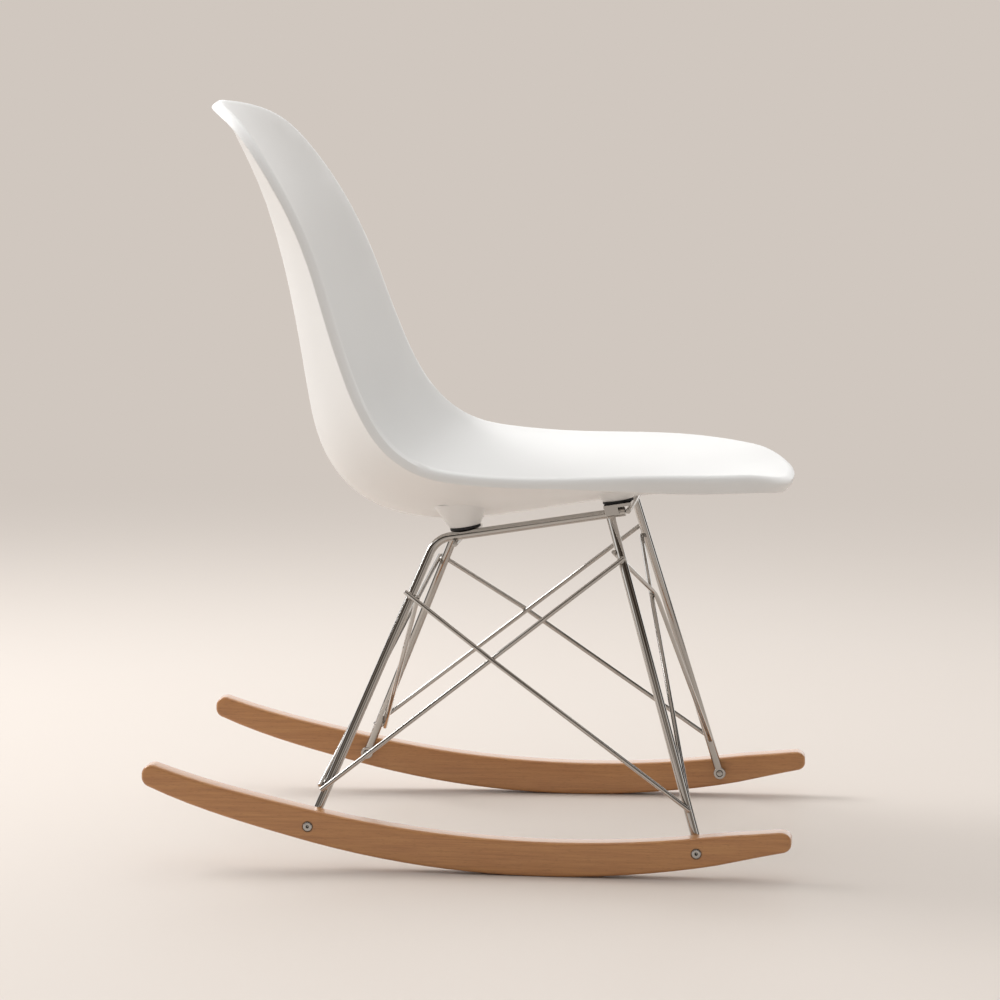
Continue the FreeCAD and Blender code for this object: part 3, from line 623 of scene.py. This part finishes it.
@dataclass(frozen=True)
class SocketBolt:
    """Round-headed bolt with a hexagon socket, modelled once and copied."""

    head_radius: float
    head_height: float
    socket_width: float
    shank_radius: float
    length: float
    edge_round: float
    tip_round: float = 0.5 * MILLIMETRE
    sides: int = 48
    # The socket narrows to its floor, as shares of its width, so that its middle looks dark.
    socket_mouth: float = 0.8
    socket_floor: float = 0.12
    # Depth and middle of the tool that cuts the socket, as shares of the head's height.
    socket_depth: float = 1.6
    socket_middle: float = 0.9
    sharp_degrees: float = 30.0

    def model(self, name: str) -> bpy.types.Object:
        """Model one bolt with its head below the origin and its shank along +Z.

        Args:
            name: name of the piece.

        Returns:
            The bolt.
        """
        bpy.ops.object.select_all(action="DESELECT")
        bpy.ops.mesh.primitive_cylinder_add(
            vertices=self.sides, radius=self.head_radius, depth=self.head_height, end_fill_type="NGON",
            location=(0, 0, -self.head_height / 2))
        bolt = bpy.context.object
        bolt.name = name
        settle(bolt)
        with editing(bolt, Pick.FACES, lambda face: face.normal.z < -FACING):
            bpy.ops.mesh.bevel(offset=self.edge_round, segments=4, affect="EDGES")
        with editing(bolt, Pick.FACES, lambda face: face.normal.z > FACING):
            bpy.ops.mesh.inset(thickness=self.head_radius - self.shank_radius)
            bpy.ops.mesh.extrude_region_move(TRANSFORM_OT_translate={"value": Z_AXIS * self.length})
            bpy.ops.mesh.bevel(offset=self.tip_round, segments=2, affect="EDGES")
        bpy.ops.object.select_all(action="DESELECT")
        bpy.ops.mesh.primitive_cone_add(
            vertices=6, radius1=self.socket_width * self.socket_mouth,
            radius2=self.socket_width * self.socket_floor, depth=self.head_height * self.socket_depth,
            location=(0, 0, -self.head_height * self.socket_middle))
        socket = bpy.context.object
        select_only(bolt)
        cut = bolt.modifiers.new("socket", "BOOLEAN")
        cut.operation = "DIFFERENCE"
        cut.object = socket
        bpy.ops.object.modifier_apply(modifier=cut.name)
        bpy.data.objects.remove(socket)
        shade(bolt, self.sharp_degrees)
        return bolt

    def build(self, name: str, places: Sequence[tuple[Vector, Vector]]) -> bpy.types.Object:
        """Model the bolt, copy it to each place and join the copies.

        Args:
            name: name of the piece.
            places: for each bolt, the point under its head and the direction of its shank.

        Returns:
            One piece with all the bolts.
        """
        bolt = self.model(name)
        copies = [placed_copy(bolt, place, direction) for place, direction in places]
        bpy.data.objects.remove(bolt)
        return joined(name, copies)


# The chair

@dataclass
class SubAssembly:
    """Group of pieces of the chair, with the finishes that they share."""

    finishes: Finishes

    def softened(self, node: str, name: str, width: float, slot: Slot, segments: int = 3) -> None:
        """Copy a node, round its edges and dress the copy.

        Args:
            node: node of the frame.
            name: name of the copy.
            width: width of the rounding.
            slot: slot of its finish.
            segments: steps across the rounding.
        """
        piece = merged_copy(node, name)
        round_edges(piece, width, segments)
        self.finishes.dress(piece, slot, [node])


@dataclass
class Seat(SubAssembly):
    """The moulded seat and the four inserts in its bosses."""

    sharp_degrees: float = 40.0
    rim_round: float = 1.1 * MILLIMETRE
    rim_degrees: float = 55.0
    tip_sweep: float = 3.6 * MILLIMETRE
    tip_depth: float = 8 * MILLIMETRE
    sweep_reach: float = 110 * MILLIMETRE
    curl: float = 12 * MILLIMETRE
    curl_length: float = 72 * MILLIMETRE
    curl_level: float = 12 * MILLIMETRE
    curl_limit: float = 0.93
    squash: float = 0.14
    squash_length: float = 42 * MILLIMETRE
    loops: int = 6

    def build(self) -> None:
        """Make the seat's pieces and dress them."""
        shell = merged_copy("seat_shell", "seat_shell_skin", self.sharp_degrees)
        self.round_rim(shell)
        self.sweep_tip(shell)
        self.shape_nose(shell)
        shade(shell, self.sharp_degrees)
        self.finishes.dress(shell, Slot.PLASTIC, ["seat_shell"])
        self.finishes.dress_node("threaded_inserts", Slot.BRASS)

    def round_rim(self, shell: bpy.types.Object) -> None:
        """Round the two edges where the wall ends, all round the rim.

        Args:
            shell: the moulded seat.
        """
        select_only(shell)
        rounding = shell.modifiers.new("rim_rounding", "BEVEL")
        rounding.width = self.rim_round
        rounding.segments = 3
        rounding.use_clamp_overlap = False
        rounding.limit_method = "ANGLE"
        rounding.angle_limit = math.radians(self.rim_degrees)
        bpy.ops.object.modifier_apply(modifier=rounding.name)

    def sweep_tip(self, shell: bpy.types.Object) -> None:
        """Sweep the top edge back a little further, as the photographed one is.

        Args:
            shell: the moulded seat.
        """
        top = max(vertex.co.z for vertex in shell.data.vertices)
        with editing(shell, Pick.CORNERS, lambda vertex: vertex.co.z > top - self.tip_depth):
            bpy.ops.transform.translate(
                value=Y_AXIS * self.tip_sweep, orient_type="GLOBAL", use_proportional_edit=True,
                proportional_edit_falloff="SMOOTH", proportional_size=self.sweep_reach)

    def shape_nose(self, shell: bpy.types.Object) -> None:
        """Flatten the front of the rim a little and curl its skirt under in a round.

        Args:
            shell: the moulded seat.
        """
        front = min(vertex.co.y for vertex in shell.data.vertices)
        curl_start = front + self.curl_length
        squash_start = front + self.squash_length
        low = min(vertex.co.z for vertex in shell.data.vertices if vertex.co.y < curl_start)
        for loop in range(self.loops):
            height = low + self.curl_level * (loop + 0.5) / self.loops
            with editing(shell, Pick.FACES, lambda face: face.center.y < curl_start):
                bpy.ops.mesh.bisect(plane_co=(0, 0, height), plane_no=(0, 0, 1))
        # No operator gives this curl, so it moves the corners one by one.
        for vertex in shell.data.vertices:
            place = vertex.co
            if place.y < squash_start:
                share = self.ease((squash_start - place.y) / self.squash_length)
                place.z = low + (place.z - low) * (1 - self.squash * share)
            depth = (low + self.curl_level - place.z) / self.curl_level
            if place.y < curl_start and depth > 0:
                share = self.ease((curl_start - place.y) / self.curl_length)
                place.y += self.curl * share * (1 - math.sqrt(1 - min(self.curl_limit, depth) ** 2))

    def ease(self, share: float) -> float:
        """Slow start and slow stop for a share from 0 to 1."""
        share = min(1.0, max(0.0, share))
        return share * share * (3 - 2 * share)


@dataclass(frozen=True)
class BraceEnd:
    """Where a front brace is welded to a leg.

    The turn is in degrees from the inside of the leg towards its front. The overhang is the length
    that stands out beyond the weld.
    """

    height: float
    turn: float
    overhang: float


@dataclass
class WireBase(SubAssembly):
    """Rods, braces, mount plates and bushes of the chromed base."""

    rod_radius: float = 4.25 * MILLIMETRE
    brace_radius: float = 2.25 * MILLIMETRE
    cross_radius: float = 2.5 * MILLIMETRE
    weld_gap: float = 0.2 * MILLIMETRE
    bush_radius: float = 6 * MILLIMETRE
    leg_end_round: float = 0.2 * MILLIMETRE
    leg_sides: int = 40
    ring_depth: float = 1.5 * MILLIMETRE
    front_trim: float = 2.5 * MILLIMETRE
    rear_drop: float = 4.5 * MILLIMETRE
    high_end: BraceEnd = BraceEnd(289 * MILLIMETRE, -45, 9 * MILLIMETRE)
    low_end: BraceEnd = BraceEnd(273 * MILLIMETRE, -45, 3 * MILLIMETRE)
    foot_end: BraceEnd = BraceEnd(64 * MILLIMETRE, 10, 5 * MILLIMETRE)
    front_brace_crossing: float = 233.5 * MILLIMETRE
    front_brace_bow: float = 5.3 * MILLIMETRE
    front_brace_setback: float = 14 * MILLIMETRE
    flange_trim: float = 3 * MILLIMETRE
    plate_round: float = 0.5 * MILLIMETRE
    bead_size: tuple[float, float, float] = (2.6 * MILLIMETRE, 3.6 * MILLIMETRE, 1.9 * MILLIMETRE)
    bead_place: float = 0.6
    bead_waviness: float = 0.12 * MILLIMETRE
    bead_sharp_degrees: float = 80.0
    joints: list[tuple[Vector, Vector]] = field(default_factory=list)

    @property
    def stand_off(self) -> float:
        """Distance from the axis of a leg to the axis of a brace welded to it."""
        return self.rod_radius + self.brace_radius + self.weld_gap

    def build(self) -> None:
        """Make the base's pieces and dress them."""
        for side in Side:
            node = f"side_rod_{side.word}"
            self.finishes.dress(merged_copy(node, f"{node}_plated"), Slot.CHROME, [node])
            self.front_leg(side)
            self.side_braces(side)
            node = f"rear_brace_{side.word}"
            ends = bar_ends(node)
            self.bar(self.brace_radius, f"{node}_plated", ends, node)
            self.note_joint(ends, self.leg_line(side, End.REAR))
            self.note_joint(ends, self.leg_line(side.other, End.REAR))
            self.front_plate(side)
            rear_plate = f"mount_plate_rear_{side.word}"
            for node in [rear_plate] + [f"{end.value}_foot_bush_{side.word}" for end in End]:
                self.softened(node, f"{node}_plated", self.plate_round, Slot.CHROME)
        self.front_brace(Side.RIGHT, self.high_end, self.foot_end)
        self.front_brace(Side.LEFT, self.low_end, self.foot_end)
        for end in End:
            node = f"{end.value}_cross_rod"
            self.bar(self.cross_radius, f"{node}_plated", bar_ends(node), node)
        self.weld_beads()

    def bar(self, radius: float, name: str, route: Sequence[Vector], node: str) -> None:
        """Make a round bar and dress it.

        Args:
            radius: radius of the bar.
            name: name of the piece.
            route: points of its axis.
            node: node of the frame that it stands for.
        """
        self.finishes.dress(RoundBar(radius).build(name, route), Slot.CHROME, [node])

    def leg_line(self, side: Side, end: End) -> tuple[Vector, Vector]:
        """Find the axis of a leg.

        Args:
            side: side of the chair.
            end: front or rear leg.

        Returns:
            A point near its top and the middle of its foot bush.
        """
        foot = node_middle(f"{end.value}_foot_bush_{side.word}")
        rod = "front_leg" if end is End.FRONT else "side_rod"
        points = node_points(f"{rod}_{side.word}")
        height = max(point.z for point in points) / 2
        upper = [point for point in points if point.z > height]
        rough = (mean_point(upper) - foot).normalized()
        nearest = min(rough.dot(point - foot) for point in upper)
        ring = [point for point in upper if rough.dot(point - foot) < nearest + self.ring_depth]
        return mean_point(ring), foot

    def on_leg(self, side: Side, end: End, height: float) -> Vector:
        """Point of a leg's axis at a height."""
        top, foot = self.leg_line(side, end)
        return top + (foot - top) * ((top.z - height) / (top.z - foot.z))

    def note_joint(self, first: tuple[Vector, Vector], second: tuple[Vector, Vector]) -> None:
        """Remember where two bars are welded together.

        Args:
            first: two points on the axis of the thinner bar.
            second: two points on the axis of the other bar.
        """
        near, far = intersect_line_line(*first, *second)
        across = near - far
        self.joints.append((far + across * self.bead_place, across.normalized()))

    def front_leg(self, side: Side) -> None:
        """Make one front leg, from the flange of its plate down to its foot bush.

        Args:
            side: side of the chair.
        """
        top, foot = self.leg_line(side, End.FRONT)
        along = (foot - top).normalized()
        route = [top - along * self.flange_trim, foot - along * (self.bush_radius - self.weld_gap)]
        bar = RoundBar(self.rod_radius, self.leg_end_round, self.leg_sides)
        leg = bar.build(f"front_leg_{side.word}_plated", route)
        self.finishes.dress(leg, Slot.CHROME, [f"front_leg_{side.word}"])

    def side_braces(self, side: Side) -> None:
        """Make the two crossed braces of one side, both welded to the outside of the legs.

        The one that runs down to the front leg's foot bows out over the other where they cross.

        Args:
            side: side of the chair.
        """
        rear_leg = self.leg_line(side, End.REAR)
        front_leg = self.leg_line(side, End.FRONT)
        straight = list(bar_ends(f"side_brace_outer_{side.word}"))
        straight[1] += (rear_leg[1] - rear_leg[0]).normalized() * self.rear_drop
        inside = bar_ends(f"side_brace_inner_{side.word}")
        direction = (inside[1] - inside[0]).normalized()
        ends = []
        for place, leg in zip(inside, (rear_leg, front_leg)):
            outwards = (leg[1] - leg[0]).cross(direction).normalized()
            outwards *= math.copysign(1, outwards.x * side.value)
            ends.append(place + outwards * (2 * self.stand_off))
        crossing = intersect_line_line(*straight, *ends)[0]
        crossing += X_AXIS * (side.value * (2 * self.brace_radius + self.weld_gap))
        tip = ends[1] + (crossing - ends[1]).normalized() * self.front_trim
        self.bar(self.brace_radius, f"side_brace_bowed_{side.word}", [ends[0], crossing, tip],
                 f"side_brace_inner_{side.word}")
        tip = straight[0] + (straight[1] - straight[0]).normalized() * self.front_trim
        self.bar(self.brace_radius, f"side_brace_straight_{side.word}", [tip, straight[1]],
                 f"side_brace_outer_{side.word}")
        self.note_joint((ends[0], crossing), rear_leg)
        self.note_joint((crossing, ends[1]), front_leg)
        self.note_joint(straight, front_leg)
        self.note_joint(straight, rear_leg)

    def front_brace(self, side: Side, top: BraceEnd, foot: BraceEnd) -> None:
        """Make one of the two front braces, welded to the inside of the legs and bent where they cross.

        Args:
            side: side where its upper end is.
            top: its upper end.
            foot: its lower end, at the other leg.
        """
        ends = []
        for leg_side, end in ((side, top), (side.other, foot)):
            angle = math.radians(end.turn)
            offset = -X_AXIS * (leg_side.value * math.cos(angle)) - Y_AXIS * math.sin(angle)
            ends.append(self.on_leg(leg_side, End.FRONT, end.height) + offset * self.stand_off)
        corner = self.on_leg(side, End.FRONT, self.front_brace_crossing)
        corner.x = 0
        corner.y -= self.front_brace_bow - side.value * (self.brace_radius + self.weld_gap / 2)
        upper = ends[0] + (ends[0] - corner).normalized() * top.overhang
        lower = ends[1] + (ends[1] - corner).normalized() * foot.overhang
        route = bent_route(upper, corner, lower, self.front_brace_setback)
        self.bar(self.brace_radius, f"front_brace_bent_{side.word}", route, f"front_brace_{side.word}")
        self.note_joint((upper, corner), self.leg_line(side, End.FRONT))
        self.note_joint((corner, lower), self.leg_line(side.other, End.FRONT))
        if side is Side.LEFT:
            self.joints.append((corner, -Y_AXIS))

    def front_plate(self, side: Side) -> None:
        """Round the edges of a front plate and trim its flange.

        Args:
            side: side of the chair.
        """
        node = f"mount_plate_front_{side.word}"
        plate = merged_copy(node, f"{node}_plated")
        low = min(vertex.co.z for vertex in plate.data.vertices)
        with editing(plate, Pick.CORNERS, lambda vertex: vertex.co.z < low + self.flange_trim):
            bpy.ops.transform.translate(value=Z_AXIS * self.flange_trim, orient_type="GLOBAL")
        round_edges(plate, self.plate_round)
        self.finishes.dress(plate, Slot.CHROME, [node])

    def weld_beads(self) -> None:
        """Make the small plated weld beads where the bars meet, slightly uneven as real ones are."""
        bpy.ops.object.select_all(action="DESELECT")
        bpy.ops.mesh.primitive_uv_sphere_add(segments=20, ring_count=12, radius=1.0)
        bead = bpy.context.object
        bead.name = "weld_bead"
        bead.scale = self.bead_size
        settle(bead)
        bpy.ops.object.mode_set(mode="EDIT")
        bpy.ops.mesh.select_all(action="SELECT")
        bpy.ops.transform.vertex_random(offset=self.bead_waviness, uniform=0.5, seed=3)
        bpy.ops.object.mode_set(mode="OBJECT")
        beads = [placed_copy(bead, place, across) for place, across in self.joints]
        bpy.data.objects.remove(bead)
        whole = joined("weld_beads", beads)
        shade(whole, self.bead_sharp_degrees)
        self.finishes.dress(whole, Slot.CHROME)


@dataclass
class Mounts(SubAssembly):
    """Rubber pads, washers and screws between base and seat."""

    pad_round: float = 0.7 * MILLIMETRE
    washer_round: float = 0.25 * MILLIMETRE
    washer_thickness: float = 1.2 * MILLIMETRE
    plate_thickness: float = 3 * MILLIMETRE
    pad_thickness: float = 2.5 * MILLIMETRE
    screw: SocketBolt = SocketBolt(
        head_radius=5.5 * MILLIMETRE, head_height=3.2 * MILLIMETRE, socket_width=4 * MILLIMETRE,
        shank_radius=3 * MILLIMETRE, length=10.2 * MILLIMETRE, edge_round=1.0 * MILLIMETRE)

    def build(self) -> None:
        """Make the pads and the fasteners and dress them."""
        stack = self.washer_thickness + self.plate_thickness + self.pad_thickness / 2
        places = []
        for end in End:
            for side in Side:
                node = f"mount_pad_{end.value}_{side.word}"
                points = node_points(node)
                upwards = self.pad_normal(points)
                places.append((mean_point(points) - upwards * stack, upwards))
                self.softened(node, f"{node}_moulded", self.pad_round, Slot.RUBBER)
        self.softened("mount_washers", "mount_washers_plated", self.washer_round, Slot.ZINC, 2)
        screws = self.screw.build("mount_screws_plated", places)
        self.finishes.dress(screws, Slot.ZINC, ["mount_screws"])

    def pad_normal(self, points: Sequence[Vector]) -> Vector:
        """Find the upward direction square to a round flat pad.

        Args:
            points: corners of the pad.

        Returns:
            The direction.
        """
        middle = mean_point(points)
        first = max(points, key=lambda point: (point - middle).length) - middle
        second = max(points, key=lambda point: first.cross(point - middle).length) - middle
        normal = first.cross(second).normalized()
        return normal if normal.z > 0 else -normal


@dataclass(frozen=True)
class TipShape:
    """How a rocker's tip differs from the plain arc: its share of the height, its drop and its reach."""

    share: float
    drop: float
    reach: float


@dataclass
class Rockers(SubAssembly):
    """The two wooden rockers and their bolts."""

    thickness: float = 22 * MILLIMETRE
    bush_length: float = 9 * MILLIMETRE
    counterbore_radius: float = 6.7 * MILLIMETRE
    counterbore_depth: float = 2 * MILLIMETRE
    counterbore_share: float = 0.77
    radius_slack: float = 0.2 * MILLIMETRE
    depth_slack: float = 0.1
    tip_depth: float = 5 * MILLIMETRE
    front_tip: TipShape = TipShape(0.8, 2 * MILLIMETRE, 74 * MILLIMETRE)
    rear_tip: TipShape = TipShape(1.0, 4.5 * MILLIMETRE, 150 * MILLIMETRE)
    sharp_degrees: float = 30.0
    bolt: SocketBolt = SocketBolt(
        head_radius=4.4 * MILLIMETRE, head_height=2.8 * MILLIMETRE, socket_width=3.4 * MILLIMETRE,
        shank_radius=3 * MILLIMETRE, length=28.8 * MILLIMETRE, edge_round=0.9 * MILLIMETRE)

    def build(self) -> None:
        """Make the rockers and their bolts and dress them."""
        reach = self.bush_length / 2 + self.thickness - self.counterbore_depth
        places = []
        for side in Side:
            node = f"rocker_{side.word}"
            rocker = merged_copy(node, f"{node}_lacquered", self.sharp_degrees)
            front, rear = [node_middle(f"{end.value}_foot_bush_{side.word}") for end in End]
            along = (rear - front) - Z_AXIS * (rear - front).z
            inwards = along.cross(Z_AXIS).normalized()
            inwards *= -math.copysign(1, inwards.x * side.value)
            seats = [bush - inwards * reach for bush in (front, rear)]
            for seat in seats:
                self.narrow_counterbore(rocker, seat, inwards)
            self.shape_tip(rocker, -1, self.front_tip)
            self.shape_tip(rocker, 1, self.rear_tip)
            self.finishes.dress(rocker, Slot.BEECH, [node])
            places += [(seat, inwards) for seat in seats]
        bolts = self.bolt.build("rocker_bolts_plated", places)
        self.finishes.dress(bolts, Slot.ZINC, ["rocker_bolts"])

    def shape_tip(self, rocker: bpy.types.Object, way: int, shape: TipShape) -> None:
        """Make one tip of a rocker slimmer and lower, fading out along the rocker.

        Args:
            rocker: the rocker.
            way: sign along Y of the tip.
            shape: how slim and how low it gets.
        """
        start = max(way * vertex.co.y for vertex in rocker.data.vertices) - self.tip_depth
        tip = [vertex.co.copy() for vertex in rocker.data.vertices if way * vertex.co.y > start]
        heights = [corner.z for corner in tip]
        middle = Vector((tip[0].x, tip[0].y, (min(heights) + max(heights)) / 2))
        fading = {"orient_type": "GLOBAL", "use_proportional_edit": True,
                  "proportional_edit_falloff": "SMOOTH", "proportional_size": shape.reach}
        with editing(rocker, Pick.CORNERS, lambda vertex: way * vertex.co.y > start):
            bpy.ops.transform.resize(value=(1, 1, shape.share), center_override=middle, **fading)
            bpy.ops.transform.translate(value=-Z_AXIS * shape.drop, **fading)
        shade(rocker, self.sharp_degrees)

    def narrow_counterbore(self, rocker: bpy.types.Object, seat: Vector, inwards: Vector) -> None:
        """Draw the wall of a counterbore in, so that it leaves only a thin dark ring round the head.

        Args:
            rocker: rocker with the counterbore.
            seat: middle of its floor.
            inwards: direction of the bolt's shank.
        """
        def on_wall(vertex: bpy.types.MeshVertex) -> bool:
            """Tell whether a corner is on the counterbore's wall."""
            offset = vertex.co - seat
            depth = offset.dot(inwards)
            away = (offset - inwards * depth).length
            outer = self.counterbore_depth * (1 + self.depth_slack)
            at_depth = -outer < depth < self.counterbore_depth * self.depth_slack
            return at_depth and abs(away - self.counterbore_radius) < self.radius_slack

        share = self.counterbore_share
        with editing(rocker, Pick.CORNERS, on_wall):
            bpy.ops.transform.resize(value=(1, share, share), orient_type="GLOBAL", center_override=seat)


# The room

@dataclass(frozen=True)
class SoftLight:
    """Square soft light: where it hangs, its edge and its power in watts."""

    name: str
    place: tuple[float, float, float]
    width: float
    power: float


@dataclass
class Studio:
    """Plain pale floor, soft lights and a camera where the photograph was taken from."""

    floor_size: float = 60.0
    floor_colour: str = "D5CCC4"
    floor_gloss: tuple[float, float] = (0.45, 0.6)
    # The sheen of the floor varies in soft clouds of about an arm's length.
    cloud_size: float = 667 * MILLIMETRE
    backdrop: str = "D0C7BF"
    fade: tuple[float, float] = (0.8, 3.2)
    # Light on matt surfaces: colour by the height of its direction, and stronger from +X.
    dome_heights: tuple = ((0.0, "8F8983"), (0.35, "B9B5B0"), (0.75, "F4F3F2"), (1.0, "F8F7F6"))
    dome_strength: float = 0.87
    wall_start: float = 0.3
    wall_gain: float = 3.0
    # What chrome mirrors, round the room from -X over -Y, +X and +Y back to -X, and by height.
    mirrored_walls: tuple = (
        (0.0, "A8A098"), (0.035, "A8A098"), (0.05, "3A3531"), (0.07, "3A3531"), (0.09, "8F867D"),
        (0.19, "8F867D"), (0.205, "FFFFFF"), (0.235, "FFFFFF"), (0.25, "3A3531"), (0.36, "3A3531"),
        (0.4, "FFFFFF"), (0.64, "FFFFFF"), (0.67, "3A3531"), (0.73, "3A3531"), (0.76, "8F867D"),
        (0.83, "FFFFFF"), (0.86, "FFFFFF"), (0.875, "8F867D"), (0.92, "8F867D"), (0.935, "3A3531"),
        (0.955, "3A3531"), (0.975, "A8A098"), (1.0, "A8A098"))
    mirrored_heights: tuple = (
        (0.0, "FFFFFF"), (0.3, "FFFFFF"), (0.42, "857D76"), (0.6, "7A736C"), (0.7, "FFFFFF"),
        (0.85, "FFFFFF"), (0.92, "4A4540"), (1.0, "4A4540"))
    mirror_strength: float = 1.35
    lights: tuple[SoftLight, ...] = (
        SoftLight("window_light", (0.9, 2.6, 2.2), 1.5, 74),
        SoftLight("ceiling_light", (0.4, 0.3, 3.0), 2.0, 14))
    light_aim: tuple[float, float, float] = (0.0, 0.0, 0.35)
    camera_place: tuple[float, float, float] = (-3.6464, -0.4086, 0.7473)
    camera_aim: tuple[float, float, float] = (0.0, -0.0116, 0.3232)
    focal_length: float = 137.9
    sensor_width: float = 36.0

    def floor_material(self) -> bpy.types.Material:
        """Build the matt floor, which fades into the backdrop with distance."""
        material, tree, place = empty_material("studio_floor")
        cloud = add_node(tree, "ShaderNodeTexNoise", {"Scale": 1 / self.cloud_size, "Detail": 3.0},
                         {"Vector": place})
        gloss = add_node(tree, "ShaderNodeMapRange",
                         {"To Min": self.floor_gloss[0], "To Max": self.floor_gloss[1]},
                         {"Value": cloud.outputs["Fac"]})
        near = add_node(tree, "ShaderNodeBsdfPrincipled", {"Base Color": linear_colour(self.floor_colour)},
                        {"Roughness": gloss.outputs["Result"]})
        far = add_node(tree, "ShaderNodeEmission", {"Color": linear_colour(self.backdrop)})
        distance = add_node(tree, "ShaderNodeVectorMath", {"operation": "LENGTH"}, {0: place})
        fade = add_node(tree, "ShaderNodeMapRange",
                        {"interpolation_type": "SMOOTHSTEP", "From Min": self.fade[0],
                         "From Max": self.fade[1]}, {"Value": distance.outputs["Value"]})
        both = add_node(tree, "ShaderNodeMixShader", links={
            0: fade.outputs["Result"], 1: near.outputs["BSDF"], 2: far.outputs["Emission"]})
        add_node(tree, "ShaderNodeOutputMaterial", links={"Surface": both.outputs["Shader"]})
        return material

    def room_light(self) -> bpy.types.World:
        """Build the light of the room.

        Matt surfaces get a pale ceiling over darker walls. Chrome mirrors a darker room with a few
        bright openings, which gives its streaks. The eye sees only the plain backdrop.

        Returns:
            The world with that light.
        """
        world = bpy.data.worlds.new("studio_room")
        world.use_nodes = True
        tree = world.node_tree
        tree.nodes.clear()
        direction = add_node(tree, "ShaderNodeTexCoord").outputs["Generated"]
        around = add_node(tree, "ShaderNodeTexGradient", {"gradient_type": "RADIAL"}, {"Vector": direction})
        walls = add_node(tree, "ShaderNodeValToRGB", links={"Fac": around.outputs["Fac"]})
        fill_ramp(walls, self.mirrored_walls)
        height = add_node(tree, "ShaderNodeSeparateXYZ", links={"Vector": direction})
        rise = add_node(tree, "ShaderNodeValToRGB", links={"Fac": height.outputs["Z"]})
        fill_ramp(rise, self.mirrored_heights)
        mirrored = add_node(tree, "ShaderNodeMix", {"data_type": "RGBA", "blend_type": "MULTIPLY", 0: 1.0},
                            {6: walls.outputs["Color"], 7: rise.outputs["Color"]})
        dome = add_node(tree, "ShaderNodeValToRGB", links={"Fac": height.outputs["Z"]})
        fill_ramp(dome, self.dome_heights)
        behind = add_node(tree, "ShaderNodeMapRange",
                          {"From Min": self.wall_start, "To Min": self.dome_strength,
                           "To Max": self.dome_strength * self.wall_gain}, {"Value": height.outputs["X"]})
        matt_light = add_node(tree, "ShaderNodeBackground", links={
            "Color": dome.outputs["Color"], "Strength": behind.outputs["Result"]})
        chrome_light = add_node(tree, "ShaderNodeBackground", {"Strength": self.mirror_strength},
                                {"Color": mirrored.outputs[2]})
        seen = add_node(tree, "ShaderNodeBackground", {"Color": linear_colour(self.backdrop)})
        ray = add_node(tree, "ShaderNodeLightPath")
        lit = add_node(tree, "ShaderNodeMixShader", links={
            0: ray.outputs["Is Glossy Ray"], 1: matt_light.outputs["Background"],
            2: chrome_light.outputs["Background"]})
        both = add_node(tree, "ShaderNodeMixShader", links={
            0: ray.outputs["Is Camera Ray"], 1: lit.outputs["Shader"], 2: seen.outputs["Background"]})
        add_node(tree, "ShaderNodeOutputWorld", links={"Surface": both.outputs["Shader"]})
        return world

    def add_light(self, light: SoftLight) -> None:
        """Hang one soft light and turn it to the chair.

        Args:
            light: the light.
        """
        lamp = bpy.data.lights.new(light.name, "AREA")
        lamp.size = light.width
        lamp.energy = light.power
        holder = bpy.data.objects.new(light.name, lamp)
        holder.location = light.place
        facing = Vector(self.light_aim) - Vector(light.place)
        holder.rotation_euler = facing.to_track_quat("-Z", "Y").to_euler()
        bpy.context.scene.collection.objects.link(holder)

    def build(self) -> None:
        """Make the floor, the lights and the camera."""
        bpy.ops.object.select_all(action="DESELECT")
        bpy.ops.mesh.primitive_plane_add(size=self.floor_size, location=(0, 0, 0))
        floor = bpy.context.object
        floor.name = "studio_floor"
        floor.data.materials.append(self.floor_material())
        for light in self.lights:
            self.add_light(light)
        bpy.context.scene.world = self.room_light()
        bpy.context.scene.view_settings.view_transform = "Standard"

        lens = bpy.data.cameras.new("photo_camera")
        lens.lens = self.focal_length
        lens.sensor_width = self.sensor_width
        camera = bpy.data.objects.new("photo_camera", lens)
        camera.location = self.camera_place
        facing = Vector(self.camera_aim) - Vector(self.camera_place)
        camera.rotation_euler = facing.to_track_quat("-Z", "Y").to_euler()
        bpy.context.scene.collection.objects.link(camera)
        bpy.context.scene.camera = camera
        LOG.info("studio: floor, %d lights and the camera", len(self.lights))


def main() -> None:
    """Build the chair and its studio."""
    logging.basicConfig(level=logging.INFO, format="%(message)s")
    finishes = Finishes()
    for sub_assembly in (Seat, WireBase, Mounts, Rockers):
        sub_assembly(finishes).build()
        LOG.info("%s done", sub_assembly.__name__)
    Studio().build()


if __name__ == "__main__":
    main()
